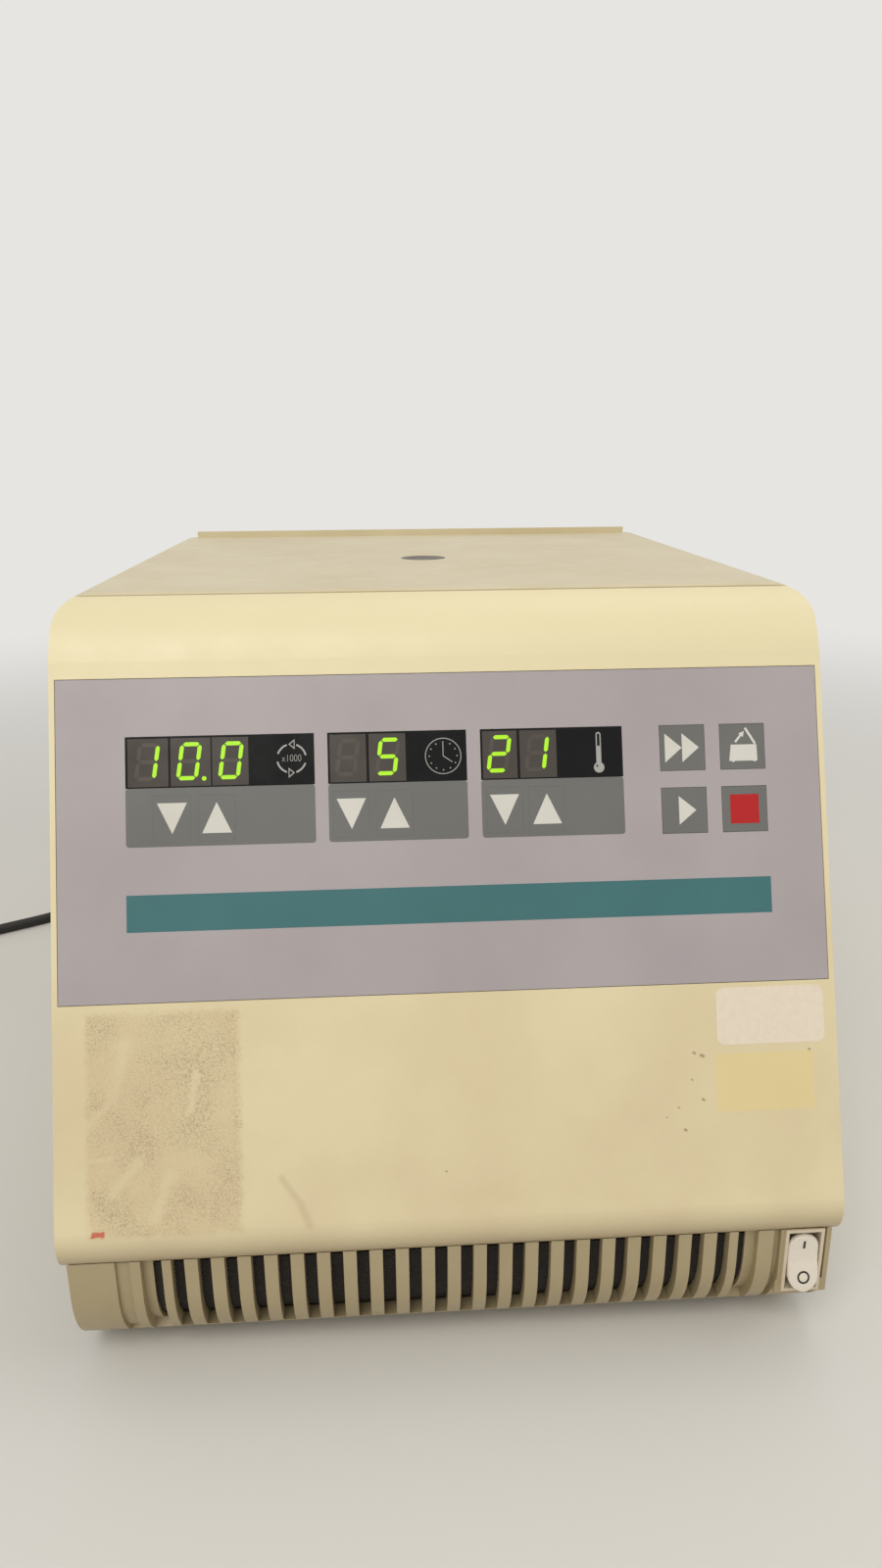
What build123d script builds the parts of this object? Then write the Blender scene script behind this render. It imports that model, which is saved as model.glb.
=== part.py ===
from build123d import *
import os
from math import acos, atan2, cos, degrees, pi, radians, sin, sqrt, tan

# Refrigerated benchtop centrifuge, in millimetres, front towards -Y, standing on Z = 0.
# The origin is on the table under the middle of the cabinet.

os.makedirs("parts", exist_ok=True)

# Cabinet
WIDTH = 290.0
DEPTH = 550.0
LID_TOP_Z = 284.0
DECK_Z = 260.0
WALL = 3.5
SLOPE = 20.3
NOSE_R = 34.0
EDGE_R = 10.0
SKIRT_R = 14.0
SKIRT_EDGE_Z = 48.3
COVER_FRONT_Y = 112.0
COVER_TOP_Z = 262.0
COVER_WALL = 3.0
BODY_GAP = 0.3

# Lid
LID_LENGTH = 266.6
LID_FRONT_Y = -178.3
LID_WALL = 3.0
LID_GAP = 0.6
LIP_RISE = 3.5
LIP_HALF = 132.5
LIP_THICK = 3.0
SIGHT_D = 22.0
SIGHT_ROD_D = 16.0
LINER_Z = 267.3
LINER_THICK = 2.0
LID_CUP_R = 88.0
LID_CUP_DEPTH = 14.0
LID_OPEN = 80.0
HINGE_BACK = 9.0
HINGE_Z = 267.0
HINGE_X = 95.0
HINGE_PIN_R = 3.0
HINGE_BARREL_R = 5.2
HINGE_BARREL_LENGTH = 26.0
EAR_THICK = 3.0
RUN_FIT = 0.06

# Control panel, laid out by distance down the slanted front
PANEL_W = 285.4
PANEL_TOP = 6.5
PANEL_H = 118.8
PANEL_THICK = 2.0
PANEL_LEDGE = 7.0
PANEL_GAP = 0.25
FIELD_TOP = 28.0
FIELD_SPLIT = 47.1
FIELD_BOTTOM = 68.7
SPEED_FIELD = (-117.6, -48.3)
TIME_FIELD = (-43.4, 8.4)
TEMP_FIELD = (13.6, 67.4)
KEY_SIZE = 17.4
KEY_COLUMNS = (90.3, 113.4)
KEY_ROWS = (36.75, 60.45)
ARROW_W = 13.6
ARROW_H = 17.0
ARROW_ROW = 58.5
ARROW_COLUMNS = ((-100.8, -84.5), (-35.0, -19.0), (22.2, 38.1))
KEY_GAP = 0.15
KEY_TRAVEL = 0.4
KEY_FLANGE = 1.0
KEY_FLANGE_THICK = 1.0
BOARD_BACK = 12.0
BOARD_THICK = 1.6
BOARD_W = 252.0
BOARD_H = 96.0
STUD_D = 5.0
WINDOW_THICK = 1.6
DIGIT_W = 12.6
DIGIT_H = 17.0
DIGIT_DEPTH = 7.0

# Base tray, its air slots and feet
TRAY_SETBACK = 3.5
TRAY_BACK_GAP = 7.0
TRAY_SIDE_GAP = 2.0
TRAY_WALL = 3.0
TRAY_Z = 7.5
TRAY_CURVE_R = 36.0
TRAY_CURVE_Z = 38.0
TRAY_CURVE_TURN = 50.0
SKIRT_GAP = 0.2
TRAY_CORNER_R = 3.0
TRAY_FRONT_WALL = 5.0
TONGUE_WALL = 2.0
TONGUE_H = 8.0
SLOT_COUNT = 22
SLOT_PITCH = 9.72
SLOT_W = 4.8
SLOT_MID_X = -0.95
END_SLOT_GAP = 3.4
END_SLOT_W = 7.8
END_SLOT_OPEN = 4.0
END_SLOT_DEEP = 3.6
SLOT_BOTTOM_Z = 15.0
RIGHT_GROOVE = (120.7, 123.5, 2.5)
LEFT_GROOVE = (-125.8, -120.4, 1.6)
EAR_GROOVE = (140.0, 141.2, 1.2)
FOOT_R = 11.0
FOOT_FROM_SIDE = 30.0
FOOT_FROM_END = 43.0

# Chamber, rotor and drive
ROTOR_Y = -58.3
CHAMBER_R = 98.0
CHAMBER_FLOOR_Z = 176.0
BOWL_WALL = 1.0
RIM_W = 7.0
GASKET_H = 4.0
COIL_TUBE_R = 3.0
COIL_RINGS = 7
COIL_PITCH = 9.0
JACKET_R = 122.0
JACKET_BASE = 14.0
ROTOR_R = 88.0
ROTOR_Z = 190.0
ROTOR_H = 48.0
TUBE_COUNT = 24
TUBE_D = 10.8
TUBE_LENGTH = 36.0
TUBE_RING_R = 52.0
TUBE_TILT = 45.0
MOUTH_CLEAR = 6.0
SHAFT_R = 6.0
MOTOR_R = 46.0
MOTOR_FLANGE_R = 62.0
MOTOR_FLANGE_THICK = 6.0
MOTOR_TOP_Z = 150.0
DAMPER_R = 11.0
DAMPER_H = 20.0
DAMPER_RING_R = 50.0
MOTOR_PLATE_THICK = 4.0
BEARING_R = 15.0
BEARING_H = 9.0

# Mains switch
SWITCH_FROM_SIDE = 12.6
SWITCH_Z = 39.0
ROCKER_W = 13.2
ROCKER_H = 23.0
BEZEL_W = 14.8
BEZEL_H = 28.0
BEZEL_PROUD = 1.2
SWITCH_PAD_SIDE = 9.5
SWITCH_PAD_DEEP = 14.0
SWITCH_PAD_Z = 23.5
SWITCH_DEEP = 20.0
ROCKER_TILT = 8.0
ROCKER_PIN_R = 1.2

# Refrigeration set and power at the rear
COMPRESSOR_X = -72.0
COMPRESSOR_Y = 150.0
COMPRESSOR_R = 50.0
COMPRESSOR_H = 112.0
GROMMET_H = 12.0
CONDENSER_X = 38.0
CONDENSER_W = 170.0
CONDENSER_H = 150.0
CONDENSER_THICK = 22.0
FAN_SIZE = 120.0
FAN_THICK = 25.0
FAN_HUB_R = 19.0
FAN_BLADES = 7
LOUVRE_COUNT = 14
LOUVRE_PITCH = 10.0
LOUVRE_H = 4.5
INLET_X = -95.0
INLET_Z = 76.0
INLET_W = 28.0
INLET_H = 22.0

# Mains cord
CORD_D = 7.0
COIL_LOOPS = 3
COIL_STEP = 9.0
COIL_MID_R = 38.5
COIL_LIFT = 7.8
COIL_ENTRY_ANGLE = 222.0
COIL_LAST_TURNS = 2.75

# Places worked out from the sizes above
HALF = WIDTH / 2
FRONT_Y = -DEPTH / 2
BACK_Y = DEPTH / 2
TRAY_FRONT_Y = FRONT_Y + TRAY_SETBACK
TRAY_BACK_Y = BACK_Y - TRAY_BACK_GAP
TRAY_HALF = HALF - TRAY_SIDE_GAP
FOOT_X = HALF - FOOT_FROM_SIDE
FOOT_Y = BACK_Y - FOOT_FROM_END
SWITCH_X = HALF - SWITCH_FROM_SIDE
LID_BACK_Y = LID_FRONT_Y + LID_LENGTH
STEP_Y = LID_FRONT_Y - LID_GAP
HINGE_Y = LID_BACK_Y + HINGE_BACK
TILT = radians(SLOPE)
SKIRT_Z = SKIRT_EDGE_Z + SKIRT_R
SKIRT_Y = FRONT_Y + SKIRT_R
NOSE_Z = LID_TOP_Z - NOSE_R
NOSE_Y = SKIRT_Y + (NOSE_R - SKIRT_R + (NOSE_Z - SKIRT_Z) * sin(TILT)) / cos(TILT)
SLOPE_TOP = (0, NOSE_Y - NOSE_R * cos(TILT), NOSE_Z + NOSE_R * sin(TILT))
FRONT = Plane(origin=SLOPE_TOP, x_dir=(1, 0, 0), z_dir=(0, -cos(TILT), sin(TILT)))
PANEL_MID = PANEL_TOP + PANEL_H / 2
TRAY_FLOOR_Z = TRAY_Z + TRAY_WALL
TRAY_TOP_Z = SKIRT_EDGE_Z - BODY_GAP
DECK_UNDER_Z = DECK_Z - WALL
DIGIT_COLUMNS = (-110.2, -95.4, -80.6, -36.2, -21.0, 20.7, 35.0)


def front_plane(depth: float) -> Plane:
    """The slanted front's plane, moved in by a depth."""
    return FRONT.offset(-depth)


def cabinet_mask(inset: float) -> Sketch:
    """Front view of the cabinet: an upright block with its top edges rounded."""
    with BuildSketch(Plane.XZ.offset(-DEPTH)) as mask:
        with BuildLine():
            side = HALF - inset
            top = LID_TOP_Z - inset
            radius = EDGE_R - inset
            Polyline((-side, top - radius), (-side, -1), (side, -1), (side, top - radius))
            CenterArc((side - radius, top - radius), radius, 0, 90)
            Line((side - radius, top), (radius - side, top))
            CenterArc((radius - side, top - radius), radius, 90, 90)
        make_face()
    return mask.sketch


def housing_section(inset: float, back_y: float) -> Sketch:
    """Side view of the front housing: deck, step, rounded nose, slope and rolled skirt."""
    nose_r = NOSE_R - inset
    skirt_r = SKIRT_R - inset
    step_y = STEP_Y - inset
    step_angle = degrees(acos((step_y - NOSE_Y) / nose_r))
    with BuildSketch(Plane.YZ.offset(inset - HALF)) as section:
        with BuildLine():
            nose = CenterArc((NOSE_Y, NOSE_Z), nose_r, step_angle, 180 - SLOPE - step_angle)
            skirt = CenterArc((SKIRT_Y, SKIRT_Z), skirt_r, 180 - SLOPE, 90 + SLOPE)
            Line(nose @ 1, skirt @ 0)
            Polyline(skirt @ 1,
                     (back_y, SKIRT_Z - skirt_r),
                     (back_y, DECK_Z - inset),
                     (step_y, DECK_Z - inset),
                     nose @ 0)
        make_face()
    return section.sketch


def block(x_span: tuple, y_span: tuple, z_span: tuple, mode: Mode = Mode.ADD) -> None:
    """A box between two values on each axis, inside the current part."""
    middle = [(low + high) / 2 for low, high in (x_span, y_span, z_span)]
    size = [high - low for low, high in (x_span, y_span, z_span)]
    with Locations(tuple(middle)):
        Box(*size, mode=mode)


def rod(centre: tuple, radius: float, height: float, mode: Mode = Mode.ADD,
        rotation: tuple = (0, 0, 0)) -> None:
    """A cylinder about a point, upright unless it is turned."""
    with Locations(Location(centre, rotation)):
        Cylinder(radius, height, mode=mode)


# Front housing: one moulded shell with the slanted front, the side walls and the deck

BOARD_STUDS = [(x, y - PANEL_MID) for x in (-118.0, 0.0, 118.0) for y in (-43.0, 43.0)]
BOARD_OPENING = (PANEL_W - 2 * PANEL_LEDGE, PANEL_H - 2 * PANEL_LEDGE)
LATCH_Y = -172.0
LATCH_SLOT = (24.0, 9.0)
CHAMBER_HOLE_R = CHAMBER_R + BOWL_WALL + 0.5
SCREW_R = 2.0
SCREW_HEAD_R = 4.0
SCREW_HEAD_H = 2.4
SCREW_Z = SKIRT_EDGE_Z + 4.0
HOUSING_SCREW_Y = (-190.0, -40.0, 90.0)
COVER_SCREW_Y = (135.0, 250.0)


def side_screw_holes(stations: tuple) -> None:
    """Counterbored holes through both side walls, for the screws into the tray."""
    for side in (-1, 1):
        for y in stations:
            rod((side * HALF, y, SCREW_Z), SCREW_R + 0.2, 8 * WALL, Mode.SUBTRACT, (0, 90, 0))
            rod((side * HALF, y, SCREW_Z), SCREW_HEAD_R + 0.2, 2 * SCREW_HEAD_H, Mode.SUBTRACT,
                (0, 90, 0))



with BuildPart() as cavity:
    extrude(housing_section(WALL, COVER_FRONT_Y + 1), amount=WIDTH - 2 * WALL)
    extrude(cabinet_mask(WALL), amount=2 * DEPTH, mode=Mode.INTERSECT)

with BuildPart() as front_housing:
    extrude(housing_section(0, COVER_FRONT_Y), amount=WIDTH)
    extrude(cabinet_mask(0), amount=2 * DEPTH, mode=Mode.INTERSECT)
    add(cavity.part, mode=Mode.SUBTRACT)
    inner = HALF - WALL
    block((-inner, inner), (SKIRT_Y, COVER_FRONT_Y + 1), (SKIRT_EDGE_Z - 1, SKIRT_EDGE_Z + WALL + 1),
          Mode.SUBTRACT)
    # Recess and opening for the control panel
    with BuildSketch(front_plane(PANEL_THICK)):
        with Locations((0, -PANEL_MID)):
            Rectangle(PANEL_W + 2 * PANEL_GAP, PANEL_H + 2 * PANEL_GAP)
    extrude(amount=2 * PANEL_THICK, mode=Mode.SUBTRACT)
    with BuildSketch(front_plane(PANEL_THICK)):
        with Locations((0, -PANEL_MID)):
            Rectangle(*BOARD_OPENING)
    extrude(amount=-2 * WALL, mode=Mode.SUBTRACT)
    # Round opening over the chamber, latch slot and hinge screw holes in the deck
    rod((0, ROTOR_Y, DECK_Z), CHAMBER_HOLE_R, 4 * WALL, Mode.SUBTRACT)
    with Locations((0, LATCH_Y, DECK_Z)):
        Box(*LATCH_SLOT, 4 * WALL, mode=Mode.SUBTRACT)
    side_screw_holes(HOUSING_SCREW_Y)

front_housing.part.label = "front_housing"
export_step(front_housing.part, "parts/front_housing.step")


# Rear cover: five-sided shell with exhaust louvres and the opening for the power inlet

def cover_block(inset: float, front_y: float, back_y: float, bottom_z: float) -> Part:
    """Block with its top edges rounded like the cabinet's, for the rear cover."""
    half = HALF - inset
    top = COVER_TOP_Z - inset
    with BuildPart() as body:
        block((-half, half), (front_y, back_y), (bottom_z, top))
        long_edges = body.edges().filter_by(Axis.Y).group_by(Axis.Z)[-1]
        back_edge = body.edges().filter_by(Axis.X).group_by(Axis.Z)[-1].sort_by(Axis.Y)[-1]
        fillet([*long_edges, back_edge], EDGE_R - inset)
    return body.part


COVER_FRONT = COVER_FRONT_Y + BODY_GAP
LOUVRE_Z = 112.0
LOUVRE_W = 112.0
SIDE_LOUVRE_Y = (150.0, 230.0)
SIDE_LOUVRE_Z = 80.0

with BuildPart() as rear_cover:
    add(cover_block(0, COVER_FRONT, BACK_Y, SKIRT_EDGE_Z))
    add(cover_block(COVER_WALL, COVER_FRONT - 1, BACK_Y - COVER_WALL, SKIRT_EDGE_Z - 1),
        mode=Mode.SUBTRACT)
    with BuildSketch(Plane.XZ.offset(-BACK_Y - 1)):
        with Locations((CONDENSER_X, LOUVRE_Z)):
            with GridLocations(0, LOUVRE_PITCH, 1, LOUVRE_COUNT):
                SlotOverall(LOUVRE_W, LOUVRE_H)
    extrude(amount=2 * COVER_WALL, mode=Mode.SUBTRACT)
    for side in (-1, 1):
        for row in range(LOUVRE_COUNT // 2):
            low = SIDE_LOUVRE_Z + row * LOUVRE_PITCH
            block((side * HALF - 5, side * HALF + 5), SIDE_LOUVRE_Y, (low, low + LOUVRE_H),
                  Mode.SUBTRACT)
    block((INLET_X - INLET_W / 2, INLET_X + INLET_W / 2), (BACK_Y - 10, BACK_Y + 10),
          (INLET_Z - INLET_H / 2, INLET_Z + INLET_H / 2), Mode.SUBTRACT)
    side_screw_holes(COVER_SCREW_Y)

rear_cover.part.label = "rear_cover"
export_step(rear_cover.part, "parts/rear_cover.step")


# Base tray: moulded pan with the air slots, the switch opening and a tongue inside the housing

SLOT_XS = [SLOT_MID_X + (n - (SLOT_COUNT - 1) / 2) * SLOT_PITCH for n in range(SLOT_COUNT)]
END_SLOTS = ((SLOT_XS[0] - SLOT_W / 2 - END_SLOT_GAP - END_SLOT_W, 1), (SLOT_XS[-1] + SLOT_W / 2 + END_SLOT_GAP, -1))
TONGUE_HALF = HALF - WALL - BODY_GAP
TRAY_INNER_FRONT = TRAY_FRONT_Y + TRAY_FRONT_WALL
TRAY_FRONT_TOP = SKIRT_Z - sqrt((SKIRT_R + SKIRT_GAP) ** 2 - (SKIRT_Y - TRAY_FRONT_Y) ** 2)
SWITCH_BODY_W = 13.6
SWITCH_BODY_H = 26.0
SWITCH_BODY_TOP = TRAY_TOP_Z - 0.6
SWITCH_COLLAR = 4.8
SWITCH_FIT = 0.2
CURVE_Y = TRAY_FRONT_Y + TRAY_CURVE_R
CURVE_SIN = sin(radians(TRAY_CURVE_TURN))
LIP_R = (TRAY_CURVE_Z - TRAY_Z - TRAY_CURVE_R * CURVE_SIN) / (1 - CURVE_SIN)
LIP_Y = CURVE_Y - (TRAY_CURVE_R - LIP_R) * cos(radians(TRAY_CURVE_TURN))
LIP_Z = TRAY_Z + LIP_R
SLOT_CUT = 16.5
MOTOR_PLATE_SIZE = 150.0
COMPRESSOR_FEET = [(COMPRESSOR_X + x, COMPRESSOR_Y + y) for x in (-42.0, 42.0) for y in (-42.0, 42.0)]



def front_band(near: float, far: float, top_z: float) -> Sketch:
    """Band along the tray's curved front between two depths behind its outer face."""
    with BuildSketch(Plane.XY) as band:
        with BuildLine():
            outer = CenterArc((CURVE_Y, TRAY_CURVE_Z), TRAY_CURVE_R - near, 180, TRAY_CURVE_TURN)
            inner = CenterArc((CURVE_Y, TRAY_CURVE_Z), TRAY_CURVE_R - far, 180, TRAY_CURVE_TURN)
            Line(outer @ 1, inner @ 1)
            Polyline(outer @ 0, ((outer @ 0).X, top_z), ((inner @ 0).X, top_z), inner @ 0)
        make_face()
    return band.sketch


def tray_profile(depth: float, back_y: float, top_z: float) -> Sketch:
    """Side profile of the tray, with its curved front and bottom moved inwards by a depth."""
    with BuildSketch(Plane.XY) as profile:
        with BuildLine():
            curve = CenterArc((CURVE_Y, TRAY_CURVE_Z), TRAY_CURVE_R - depth, 180, TRAY_CURVE_TURN)
            lip = CenterArc((LIP_Y, LIP_Z), LIP_R - depth, 180 + TRAY_CURVE_TURN, 90 - TRAY_CURVE_TURN)
            Polyline(lip @ 1, (back_y, (lip @ 1).Y), (back_y, top_z), ((curve @ 0).X, top_z), curve @ 0)
        make_face()
    return profile.sketch


OUTER_PROFILE = tray_profile(0.0, TRAY_BACK_Y, TRAY_TOP_Z)
INNER_PROFILE = tray_profile(TRAY_FRONT_WALL, TRAY_BACK_Y - TRAY_WALL, TRAY_FRONT_TOP + 1)
GROOVE_BANDS = [(start, end, front_band(-1.0, deep, TRAY_FRONT_TOP + 1))
                for start, end, deep in (RIGHT_GROOVE, LEFT_GROOVE, EAR_GROOVE)]
END_SLOT_BAND = front_band(-1.0, END_SLOT_DEEP, TRAY_FRONT_TOP + 1)

with BuildPart() as base_tray:
    with BuildSketch(Plane.YZ.offset(-TRAY_HALF)):
        add(OUTER_PROFILE)
    extrude(amount=2 * TRAY_HALF)
    # Front wall goes on up to the underside of the housing's skirt
    block((-TRAY_HALF, TRAY_HALF), (TRAY_FRONT_Y, TRAY_INNER_FRONT + 1), (TRAY_TOP_Z - 1, TRAY_FRONT_TOP + 1))
    # Flat pad for the switch, in front of the curve
    block((SWITCH_X - SWITCH_PAD_SIDE, TRAY_HALF), (TRAY_FRONT_Y, TRAY_FRONT_Y + SWITCH_PAD_DEEP),
          (SWITCH_PAD_Z, TRAY_TOP_Z - 1))
    rod((0, SKIRT_Y, SKIRT_Z), SKIRT_R + SKIRT_GAP, 3 * TRAY_HALF, Mode.SUBTRACT, (0, 90, 0))
    tray_inside = TRAY_HALF - TRAY_WALL
    with BuildSketch(Plane.YZ.offset(-tray_inside)):
        add(INNER_PROFILE)
    extrude(amount=2 * tray_inside, mode=Mode.SUBTRACT)
    block((-tray_inside, tray_inside), (LIP_Y + TRAY_WALL, TRAY_BACK_Y - TRAY_WALL), (TRAY_FLOOR_Z, LIP_Z),
          Mode.SUBTRACT)
    block((-TRAY_HALF - 1, -tray_inside), (TRAY_INNER_FRONT, TRAY_INNER_FRONT + 2),
          (TRAY_TOP_Z, TRAY_FRONT_TOP + 2), Mode.SUBTRACT)
    block((tray_inside, TRAY_HALF + 1), (TRAY_INNER_FRONT, TRAY_INNER_FRONT + 2),
          (TRAY_TOP_Z, TRAY_FRONT_TOP + 2), Mode.SUBTRACT)
    # Tongue along the sides and the back
    for side in (-1, 1):
        x_pair = sorted((side * TONGUE_HALF, side * (TONGUE_HALF - TONGUE_WALL)))
        block(tuple(x_pair), (SKIRT_Y + SKIRT_R + 2, TRAY_BACK_Y - TRAY_WALL),
              (TRAY_TOP_Z - 6, TRAY_TOP_Z + TONGUE_H))
    block((-TONGUE_HALF, TONGUE_HALF), (TRAY_BACK_Y - TRAY_WALL, TRAY_BACK_Y - TRAY_WALL + TONGUE_WALL),
          (TRAY_TOP_Z - 6, TRAY_TOP_Z + TONGUE_H))
    for x in SLOT_XS:
        block((x - SLOT_W / 2, x + SLOT_W / 2), (TRAY_FRONT_Y - 1, TRAY_FRONT_Y + SLOT_CUT),
              (SLOT_BOTTOM_Z, TRAY_FRONT_TOP + 1), Mode.SUBTRACT)
    for start, end, band in GROOVE_BANDS:
        with BuildSketch(Plane.YZ.offset(start)):
            add(band)
        extrude(amount=end - start, mode=Mode.SUBTRACT)
    # End slots: a wide recess, open through its inner half only
    for start, inward in END_SLOTS:
        with BuildSketch(Plane.YZ.offset(start)):
            add(END_SLOT_BAND)
        extrude(amount=END_SLOT_W, mode=Mode.SUBTRACT)
        open_x = start + END_SLOT_W - END_SLOT_OPEN if inward == 1 else start
        block((open_x, open_x + END_SLOT_OPEN), (TRAY_FRONT_Y - 1, TRAY_FRONT_Y + SLOT_CUT),
              (SLOT_BOTTOM_Z, TRAY_FRONT_TOP + 1), Mode.SUBTRACT)
    block((SWITCH_X - SWITCH_BODY_W / 2 - SWITCH_FIT, SWITCH_X + SWITCH_BODY_W / 2 + SWITCH_FIT),
          (TRAY_FRONT_Y - 1, TRAY_FRONT_Y + SWITCH_PAD_DEEP),
          (SWITCH_Z - SWITCH_BODY_H / 2 - SWITCH_FIT, SWITCH_Z + SWITCH_BODY_H / 2 + SWITCH_FIT),
          Mode.SUBTRACT)
    for side in (-1, 1):
        for y in (*HOUSING_SCREW_Y, *COVER_SCREW_Y):
            rod((side * TONGUE_HALF, y, SCREW_Z), SCREW_R, 4 * TONGUE_WALL, Mode.SUBTRACT, (0, 90, 0))

base_tray.part.label = "base_tray"
export_step(base_tray.part, "parts/base_tray.step")


# Housing screws: flush heads in the side walls, shanks through the tongue

with BuildPart() as housing_screws:
    for side in (-1, 1):
        for y in (*HOUSING_SCREW_Y, *COVER_SCREW_Y):
            head_x = side * (HALF - SCREW_HEAD_H / 2 - 0.1)
            rod((head_x, y, SCREW_Z), SCREW_HEAD_R, SCREW_HEAD_H - 0.2, rotation=(0, 90, 0))
            shank = HALF - SCREW_HEAD_H - TONGUE_HALF + TONGUE_WALL + 3
            rod((side * (HALF - SCREW_HEAD_H - shank / 2), y, SCREW_Z), SCREW_R, shank + 0.2,
                rotation=(0, 90, 0))

housing_screws.part.label = "housing_screws"
export_step(housing_screws.part, "parts/housing_screws.step")


# Intake filter: fine mesh in a thin frame behind the slots

FILTER_THICK = 1.6
FILTER_DEPTH = TRAY_FRONT_WALL + 0.3
FILTER_TOP_Z = TRAY_TOP_Z - 0.5
FILTER_X = (END_SLOTS[0][0], END_SLOTS[1][0] + END_SLOT_W)

with BuildPart() as intake_filter:
    with BuildSketch(Plane.YZ.offset(FILTER_X[0])):
        add(front_band(FILTER_DEPTH, FILTER_DEPTH + FILTER_THICK, FILTER_TOP_Z))
    extrude(amount=FILTER_X[1] - FILTER_X[0])

intake_filter.part.label = "intake_filter"
export_step(intake_filter.part, "parts/intake_filter.step")


# Rubber feet

with BuildPart() as rubber_feet:
    for x in (-FOOT_X, FOOT_X):
        for y in (-FOOT_Y, FOOT_Y):
            with Locations((x, y, TRAY_Z / 2)):
                Cone(FOOT_R - 1.5, FOOT_R, TRAY_Z)

rubber_feet.part.label = "rubber_feet"
export_step(rubber_feet.part, "parts/rubber_feet.step")


# Control panel: flat plate let into the slanted front, with board studs on its back

FIELDS = (SPEED_FIELD, TIME_FIELD, TEMP_FIELD)
WINDOW_H = FIELD_SPLIT - FIELD_TOP
WINDOW_MID = (FIELD_SPLIT + FIELD_TOP) / 2
KEYS = {
    "key_fast": (KEY_COLUMNS[0], KEY_ROWS[0], KEY_SIZE, KEY_SIZE),
    "key_lid": (KEY_COLUMNS[1], KEY_ROWS[0], KEY_SIZE, KEY_SIZE),
    "key_start": (KEY_COLUMNS[0], KEY_ROWS[1], KEY_SIZE, KEY_SIZE),
    "key_stop": (KEY_COLUMNS[1], KEY_ROWS[1], KEY_SIZE, KEY_SIZE),
}
for title, (down_x, up_x) in zip(("speed", "time", "temperature"), ARROW_COLUMNS):
    KEYS[f"key_{title}_down"] = (down_x, ARROW_ROW, ARROW_W, ARROW_H)
    KEYS[f"key_{title}_up"] = (up_x, ARROW_ROW, ARROW_W, ARROW_H)

with BuildPart() as control_panel:
    with BuildSketch(front_plane(PANEL_THICK)):
        with Locations((0, -PANEL_MID)):
            Rectangle(PANEL_W, PANEL_H)
        for low, high in FIELDS:
            with Locations(((low + high) / 2, -WINDOW_MID)):
                Rectangle(high - low, WINDOW_H, mode=Mode.SUBTRACT)
        for x, row, width, height in KEYS.values():
            with Locations((x, -row)):
                Rectangle(width, height, mode=Mode.SUBTRACT)
    extrude(amount=PANEL_THICK)
    with BuildSketch(front_plane(PANEL_THICK)):
        with Locations(*BOARD_STUDS):
            Circle(STUD_D / 2)
    extrude(amount=-(BOARD_BACK - PANEL_THICK))

control_panel.part.label = "control_panel"
export_step(control_panel.part, "parts/control_panel.step")


def flanged_cap(x: float, row: float, width: float, height: float, lip_gap: float) -> Part:
    """Cap through the panel with a flange behind it, as the keys and lenses have."""
    with BuildPart() as cap:
        with BuildSketch(front_plane(PANEL_THICK + lip_gap)):
            with Locations((x, -row)):
                Rectangle(width - 2 * KEY_GAP, height - 2 * KEY_GAP)
        extrude(amount=PANEL_THICK + lip_gap)
        with BuildSketch(front_plane(PANEL_THICK + lip_gap)):
            with Locations((x, -row)):
                Rectangle(width + 2 * KEY_FLANGE, height + 2 * KEY_FLANGE)
        extrude(amount=-KEY_FLANGE_THICK)
    return cap.part


# Display windows: three dark lenses

with BuildPart() as display_windows:
    for low, high in FIELDS:
        add(flanged_cap((low + high) / 2, WINDOW_MID, high - low, WINDOW_H, 0))

display_windows.part.label = "display_windows"
export_step(display_windows.part, "parts/display_windows.step")


# Keys: each cap has a stem that stops just short of its switch on the board

SWITCH_TALL = 7.0
STEM_D = 5.0
KEY_LIP_GAP = 0.05
STEM_END = BOARD_BACK - SWITCH_TALL - KEY_TRAVEL - 0.1

for title, (x, row, width, height) in KEYS.items():
    with BuildPart() as key:
        add(flanged_cap(x, row, width, height, KEY_LIP_GAP))
        with BuildSketch(front_plane(PANEL_THICK + KEY_LIP_GAP)):
            with Locations((x, -row)):
                Circle(STEM_D / 2)
        extrude(amount=-(STEM_END - PANEL_THICK - KEY_LIP_GAP))
    key.part.label = title
    export_step(key.part, f"parts/{title}.step")


# Control board with its key switches, held on the panel's studs

with BuildPart() as control_board:
    with BuildSketch(front_plane(BOARD_BACK)):
        with Locations((0, -PANEL_MID)):
            Rectangle(BOARD_W, BOARD_H)
    extrude(amount=-BOARD_THICK)
    with BuildSketch(front_plane(BOARD_BACK)):
        for x, row, width, height in KEYS.values():
            with Locations((x, -row)):
                Rectangle(6, 6)
    extrude(amount=SWITCH_TALL)
    with BuildSketch(front_plane(BOARD_BACK + BOARD_THICK)):
        with Locations((-40, -PANEL_MID - 25)):
            Rectangle(36, 12)
        with Locations((40, -PANEL_MID - 25)):
            Rectangle(18, 18)
    extrude(amount=-3.5)

control_board.part.label = "control_board"
export_step(control_board.part, "parts/control_board.step")


# Seven-segment displays on the board, behind the lenses

with BuildPart() as led_displays:
    with BuildSketch(front_plane(BOARD_BACK)):
        with Locations(*[(x, -WINDOW_MID) for x in DIGIT_COLUMNS]):
            Rectangle(DIGIT_W, DIGIT_H)
    extrude(amount=DIGIT_DEPTH)

led_displays.part.label = "led_displays"
export_step(led_displays.part, "parts/led_displays.step")


# Mains switch: body with bezel and pivot pin, and its rocker

ROCKER_Y = TRAY_FRONT_Y + 1.5
ROCKER_FLUSH = BEZEL_PROUD + 1.5 + 0.4

WELL_HALF = SWITCH_BODY_H / 2 - SWITCH_FIT

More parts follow.
